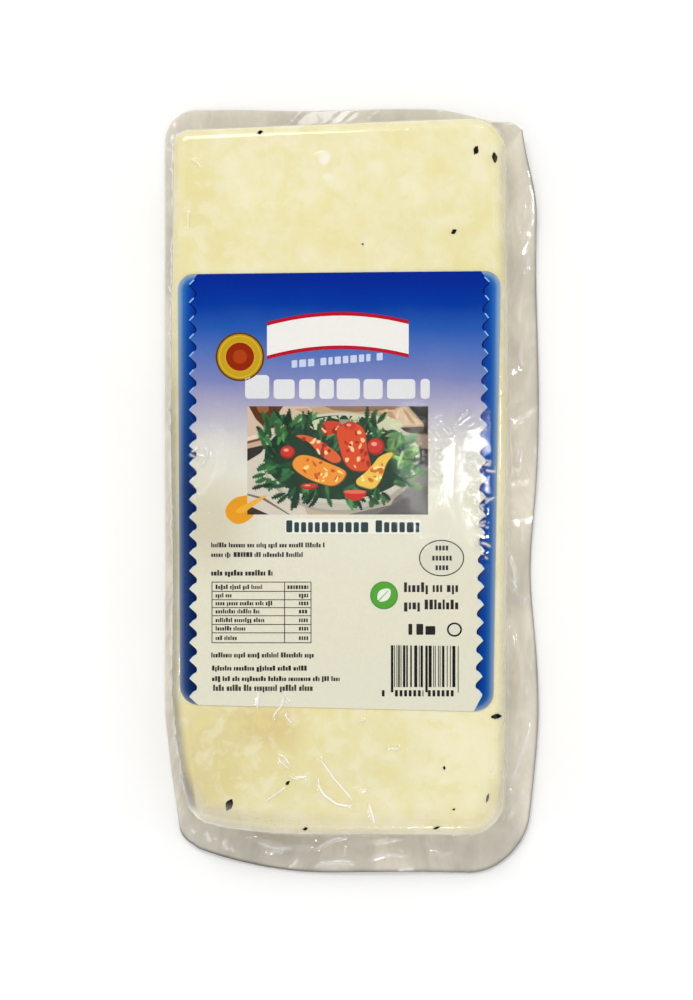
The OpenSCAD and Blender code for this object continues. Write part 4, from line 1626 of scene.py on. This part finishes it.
def film_material():
    m, nodes, links = new_material("pouch_film")
    out = nodes.new("ShaderNodeOutputMaterial")
    co, xyz = object_xyz(nodes, links)
    hz = nodes.new("ShaderNodeAttribute")
    hz.attribute_name = "haze_and_painted_light"
    streak = noise_node(nodes, links, co, 60, 5, 0.6, 1.4, (1.0, 0.35, 1.0))
    cloud = noise_node(nodes, links, co, 22, 3, 0.5, 0.6)
    s = map_range(nodes, links, streak.outputs["Fac"], 0.3, 0.72, 0.8, 1.22)
    # painted shade: noise that lightens and darkens the milk in soft patches, standing in for the light and shade of
    # soft fold shapes
    fold_shade_noise = noise_node(nodes, links, co, 55, 3, 0.5, 0.5, (1.0, 0.6, 1.0))
    c = map_range(nodes, links, cloud.outputs["Fac"], 0.3, 0.7, 0.95, 1.05)
    c = math_node(nodes, links, "MULTIPLY", c, map_range(nodes, links, fold_shade_noise.outputs["Fac"], 0.4, 0.6, 0.94, 1.05))
    fac = math_node(nodes, links, "MULTIPLY", math_node(nodes, links, "MULTIPLY", hz.outputs["Fac"], s), c, True)
    clear = nodes.new("ShaderNodeBsdfTransparent")
    clear.inputs[0].default_value = (0.985, 0.985, 0.98, 1)
    milk = nodes.new("ShaderNodeBsdfDiffuse")
    tn = nodes.new("ShaderNodeAttribute")
    tn.attribute_name = "tone_and_painted_light"
    cr = nodes.new("ShaderNodeAttribute")
    cr.attribute_name = "crest_whitening_and_painted_glint"
    # the milk's colour: the tint scaled by a point attribute of random streaks, painted shade and painted light, and
    # by noise
    shade = ramp_node(nodes, [(0.0, (0.0, 0.0, 0.0)), (1.0, FILM_TINT)])
    links.new(math_node(nodes, links, "MULTIPLY", tn.outputs["Fac"], c), shade.inputs[0])
    # whitened along crease tops: partly the film's stress whitening, partly a painted highlight standing in for glints
    white = mix_colour(nodes, links, cr.outputs["Fac"], shade.outputs[0], (1.0, 0.995, 0.97))
    links.new(white, milk.inputs["Color"])
    fac = math_node(nodes, links, "MAXIMUM", fac, math_node(nodes, links, "MULTIPLY", cr.outputs["Fac"], 0.85, True))
    body = nodes.new("ShaderNodeMixShader")
    links.new(fac, body.inputs[0])
    links.new(clear.outputs[0], body.inputs[1])
    links.new(milk.outputs[0], body.inputs[2])
    gloss = nodes.new("ShaderNodeBsdfGlossy")
    gloss.inputs["Color"].default_value = (1, 1, 1, 1)
    gloss.inputs["Roughness"].default_value = 0.07
    fres = nodes.new("ShaderNodeFresnel")
    # a thin sheet: the same share is reflected from either side
    geo = nodes.new("ShaderNodeNewGeometry")
    links.new(map_range(nodes, links, geo.outputs["Backfacing"], 0.0, 1.0, 1.5, 1 / 1.5), fres.inputs["IOR"])
    micro = noise_node(nodes, links, co, 300, 4, 0.6, 0.8)
    wide = noise_node(nodes, links, co, 75, 3, 0.5, 0.5)
    h = math_node(nodes, links, "ADD", math_node(nodes, links, "MULTIPLY", micro.outputs["Fac"], 0.25), wide.outputs["Fac"])
    # crinkles where the film doesn't lie flat on the label
    crinkle = noise_node(nodes, links, co, 520, 4, 0.6, 1.0)
    loose = None
    for u, v, ru, rv in ((48.0, 9.0, 7.0, 17.0), (33.0, 14.0, 5.0, 16.0), (-53.0, 16.0, 4.0, 7.0)):
        f = spot(nodes, links, co, u, v, ru, rv, 0.35)
        loose = f if loose is None else math_node(nodes, links, "MAXIMUM", loose, f)
    h = math_node(nodes, links, "ADD", h, math_node(nodes, links, "MULTIPLY", math_node(nodes, links, "MULTIPLY", crinkle.outputs["Fac"], loose), 1.0))
    nrm = bump_node(nodes, links, h, 0.06, 0.001)
    links.new(nrm, gloss.inputs["Normal"])
    links.new(nrm, fres.inputs["Normal"])
    mix = nodes.new("ShaderNodeMixShader")
    links.new(fres.outputs[0], mix.inputs[0])
    links.new(body.outputs[0], mix.inputs[1])
    links.new(gloss.outputs[0], mix.inputs[2])
    links.new(mix.outputs[0], out.inputs["Surface"])
    return m


def paper_material(kind):
    m, nodes, links = new_material("label_" + kind)
    out = nodes.new("ShaderNodeOutputMaterial")
    bsdf = nodes.new("ShaderNodeBsdfPrincipled")
    links.new(bsdf.outputs[0], out.inputs["Surface"])
    co, xyz = object_xyz(nodes, links)
    grain = noise_node(nodes, links, co, 900, 3, 0.6)
    soft = noise_node(nodes, links, co, 45, 3, 0.5)
    if kind == "paper":
        y0, y1 = PLAN_Y - 80 * MM, PLAN_Y + 86 * MM
        stops = [((v + 80) / 166, c) for v, c in FIELD]
        ramp = ramp_node(nodes, stops)
        wave = math_node(nodes, links, "MULTIPLY", math_node(nodes, links, "SUBTRACT", soft.outputs["Fac"], 0.5), 0.03)
        t = map_range(nodes, links, xyz[1], y0, y1, 0.0, 1.0)
        links.new(math_node(nodes, links, "ADD", t, wave), ramp.inputs[0])
        shade = math_node(nodes, links, "MULTIPLY", spot(nodes, links, co, -50.0, -8.0, 13.0, 15.0, 0.6), 0.6)
        col = mix_colour(nodes, links, shade, ramp.outputs[0], srgb((206, 196, 168)))
    elif kind == "border":
        at = nodes.new("ShaderNodeAttribute")
        at.attribute_name = "across"
        t = map_range(nodes, links, at.outputs["Fac"], 0.0, 6.5, 0.0, 1.0)
        head = ramp_node(nodes, BORDER_HEAD)
        foot = ramp_node(nodes, BORDER_FOOT)
        links.new(t, head.inputs[0])
        links.new(t, foot.inputs[0])
        f = map_range(nodes, links, xyz[1], PLAN_Y + 72 * MM, PLAN_Y + 4 * MM, 0.0, 1.0)
        side = map_range(nodes, links, xyz[0], PLAN_X - 20 * MM, PLAN_X + 20 * MM, 1.0, 0.3)
        f = math_node(nodes, links, "MULTIPLY", f, side)
        col = mix_colour(nodes, links, f, head.outputs[0], foot.outputs[0])
    else:
        at = nodes.new("ShaderNodeAttribute")
        at.attribute_name = "ink"
        col = at.outputs["Color"]
    k = map_range(nodes, links, grain.outputs["Fac"], 0.3, 0.7, 0.975, 1.02)
    col = mix_colour(nodes, links, 1.0, col, k, "MULTIPLY")
    links.new(col, bsdf.inputs["Base Color"])
    r = map_range(nodes, links, grain.outputs["Fac"], 0.3, 0.7, 0.42, 0.52)
    links.new(r, bsdf.inputs["Roughness"])
    bsdf.inputs["Specular IOR Level"].default_value = 0.0
    links.new(bump_node(nodes, links, grain.outputs["Fac"], 0.06, 0.0004), bsdf.inputs["Normal"])
    return m


def fleck_material():
    m, nodes, links = new_material("dried_mint")
    out = nodes.new("ShaderNodeOutputMaterial")
    bsdf = nodes.new("ShaderNodeBsdfPrincipled")
    links.new(bsdf.outputs[0], out.inputs["Surface"])
    co, _ = object_xyz(nodes, links)
    n = noise_node(nodes, links, co, 1600, 4, 0.6)
    ramp = ramp_node(nodes, [(0.3, (8, 6, 4)), (0.6, (24, 20, 11)), (0.8, (58, 48, 26))])
    links.new(n.outputs["Fac"], ramp.inputs[0])
    links.new(ramp.outputs[0], bsdf.inputs["Base Color"])
    bsdf.inputs["Roughness"].default_value = 0.85
    bsdf.inputs["Specular IOR Level"].default_value = 0.05
    links.new(bump_node(nodes, links, n.outputs["Fac"], 0.5, 0.0005), bsdf.inputs["Normal"])
    return m


CHEESE_DARK, CHEESE_MID, CHEESE_PALE = (238, 228, 175), (241, 233, 186), (243, 237, 200)
CHEESE_CURD, CHEESE_YELLOW = (247, 241, 214), (236, 224, 157)
CHEESE_PATCHES = [
    # u, v, half widths, colour, amount, softness
    (-52.0, 112.0, 9.0, 26.0, (233, 220, 150), 0.6, 0.6),
    (-40.0, 128.0, 12.0, 8.0, (245, 238, 206), 0.6, 0.6),
    (-8.0, 112.0, 30.0, 16.0, (244, 237, 197), 0.6, 0.6),
    (-22.0, 96.0, 22.0, 8.0, (237, 226, 167), 0.5, 0.6),
    (20.0, 98.0, 18.0, 9.0, (238, 232, 192), 0.5, 0.6),
    (44.0, 100.0, 14.0, 20.0, (236, 228, 171), 0.6, 0.6),
    (-8.0, 125.0, 1.9, 2.4, (252, 246, 230), 1.0, 0.25),
    (-6.5, 118.0, 2.0, 1.3, (250, 244, 221), 0.9, 0.35),
    (12.0, 121.0, 2.2, 3.0, (247, 241, 212), 0.5, 0.5),
    # partly the cheese's own colour, partly painted shade: the cheese is darker and tanner towards the foot's left
    # corner
    (-31.0, -83.0, 13.0, 8.0, (222, 201, 140), 0.85, 0.5),
    (-52.0, -100.0, 16.0, 30.0, (224, 211, 154), 0.85, 0.6),
    (-26.0, -97.0, 12.0, 10.0, (227, 213, 150), 0.6, 0.6),
    (-20.0, -112.0, 14.0, 8.0, (232, 227, 183), 0.6, 0.6),
    (4.0, -100.0, 22.0, 14.0, (233, 224, 173), 0.65, 0.7),
    (16.0, -86.0, 18.0, 9.0, (236, 229, 181), 0.5, 0.6),
    (46.0, -98.0, 16.0, 22.0, (247, 241, 206), 0.65, 0.6),
    (22.0, -112.0, 16.0, 10.0, (241, 234, 190), 0.5, 0.6),
]
FILM_TINT = (1.0, 0.94, 0.815)
FIELD = [
    (-80.0, (230, 227, 208)), (-30.0, (230, 226, 206)), (2.0, (229, 227, 210)), (9.1, (230, 228, 216)), (21.9, (217, 214, 209)),
    (29.0, (193, 190, 202)), (36.5, (168, 165, 197)), (43.8, (127, 137, 191)), (54.75, (83, 115, 190)), (62.05, (42, 93, 181)),
    (71.2, (0, 58, 163)), (79.2, (0, 43, 153)), (86.0, (0, 38, 148)),
]
BORDER_HEAD = [(0.0, (150, 172, 192)), (0.12, (122, 152, 192)), (0.3, (40, 110, 186)), (0.5, (0, 82, 176)), (0.8, (0, 62, 164)), (1.0, (0, 48, 154))]
BORDER_FOOT = [(0.0, (132, 140, 160)), (0.14, (84, 100, 142)), (0.32, (26, 62, 118)), (0.55, (4, 42, 98)), (0.8, (0, 32, 90)), (1.0, (0, 22, 76))]


def assign(ob, mat):
    ob.data.materials.clear()
    ob.data.materials.append(mat)


assign(cheese, cheese_material())
assign(film, film_material())
assign(label_paper, paper_material("paper"))
assign(label_border, paper_material("border"))
ink_mat = paper_material("ink")
for ob in (label_lines, print_emblems, print_picture, print_marks):
    assign(ob, ink_mat)
assign(mint_flecks, fleck_material())

# ------------------------------------------------------------------- stage
me = bpy.data.meshes.new("floor")
S = 3.0
me.from_pydata([(-S, -S, 0), (S, -S, 0), (S, S, 0), (-S, S, 0)], [], [(0, 1, 2, 3)])
floor = bpy.data.objects.new("floor", me)
bpy.context.scene.collection.objects.link(floor)
m, nodes, links = new_material("studio_floor")
out = nodes.new("ShaderNodeOutputMaterial")
bsdf = nodes.new("ShaderNodeBsdfPrincipled")
links.new(bsdf.outputs[0], out.inputs["Surface"])
co, _ = object_xyz(nodes, links)
n = noise_node(nodes, links, co, 30, 3)
ramp = ramp_node(nodes, [(0.3, (254, 254, 254)), (0.7, (255, 255, 255))])
links.new(n.outputs["Fac"], ramp.inputs[0])
links.new(ramp.outputs[0], bsdf.inputs["Base Color"])
bsdf.inputs["Roughness"].default_value = 0.9
bsdf.inputs["Specular IOR Level"].default_value = 0.0
floor.data.materials.append(m)

# ------------------------------------------------------------------- light
world = bpy.data.worlds.new("studio")
bpy.context.scene.world = world
world.use_nodes = True
wn, wl = world.node_tree.nodes, world.node_tree.links
wn.clear()
wo = wn.new("ShaderNodeOutputWorld")
bg = wn.new("ShaderNodeBackground")
wl.new(bg.outputs[0], wo.inputs["Surface"])
tc = wn.new("ShaderNodeTexCoord")
sp = wn.new("ShaderNodeSeparateXYZ")
wl.new(tc.outputs["Generated"], sp.inputs[0])
wr = wn.new("ShaderNodeValToRGB")
els = wr.color_ramp.elements
for e, (p, c) in zip((els[0], els[1], els.new(0.5), els.new(0.6), els.new(0.7)), [(0.0, 0.95), (0.5, 1.0), (0.82, 0.92), (0.93, 0.14), (1.0, 0.05)]):
    e.position = p
    e.color = (c, c, c * 0.985, 1)
wl.new(sp.outputs[2], wr.inputs[0])
wl.new(wr.outputs[0], bg.inputs[0])
bg.inputs[1].default_value = 0.82


def area(name, loc, size, watts, target=(0, 0, 0.02), colour=(1, 1, 1), size_y=None):
    d = bpy.data.lights.new(name, "AREA")
    d.shape = "RECTANGLE"
    d.size = size
    d.size_y = size_y or size
    d.energy = watts
    d.color = colour
    o = bpy.data.objects.new(name, d)
    o.location = loc
    o.rotation_euler = (Vector(target) - Vector(loc)).to_track_quat("-Z", "Y").to_euler()
    bpy.context.scene.collection.objects.link(o)
    return o


area("key", (-0.6, 1.55, 2.4), 1.1, 28.0)
area("glint_left", (-0.62, -0.12, 0.62), 0.06, 0.32)
area("glint_right", (0.58, 0.05, 0.66), 0.06, 0.32)
area("glint_foot", (0.08, -0.66, 0.62), 0.06, 0.32)
area("glint_head", (0.22, 0.62, 0.7), 0.06, 0.32)
area("glint_high", (-0.38, -0.42, 0.95), 0.05, 0.3)


def window(name, u0, v0, u1, v1, radiance):
    """A small bright lamp that the camera sees mirrored over this part of the label."""
    k = 1 + 1200 / (EYE_H - BLOCK_H)
    cx, cy = EYE[0] + k * (u0 + u1) / 2, EYE[1] + k * (v0 + v1) / 2
    w, h = k * (u1 - u0) * MM, k * (v1 - v0) * MM
    target = ((EYE[0] + (u0 + u1) / 2) * MM, (EYE[1] + (v0 + v1) / 2) * MM, BLOCK_H * MM)
    d = bpy.data.lights.new(name, "AREA")
    d.shape = "RECTANGLE"
    d.size, d.size_y = w, h
    d.energy = radiance * math.pi * w * h
    o = bpy.data.objects.new(name, d)
    o.location = (cx * MM, cy * MM, 1.2 + BLOCK_H * MM)
    bpy.context.scene.collection.objects.link(o)


window("window_right", 63.5, -6.0, 76.0, 18.0, 125)
window("window_mid", 30.5, -8.0, 37.5, 27.0, 8)
window("window_left", -65.5, 8.0, -59.9, 23.0, 16)

bpy.context.scene.view_settings.view_transform = "Standard"
bpy.context.scene.view_settings.look = "None"
bpy.context.scene.view_settings.exposure = 0.0
bpy.context.scene.view_settings.gamma = 1.0

# ------------------------------------------------------------- the frame
for ob in (film, cheese, mint_flecks, label_paper, label_border, label_lines, print_emblems, print_picture, print_marks):
    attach(ob, "root")
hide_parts("pack")
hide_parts("pack")
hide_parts("pack")
for ob in (label_paper, label_border, label_lines, print_emblems, print_picture, print_marks):
    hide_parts("label")
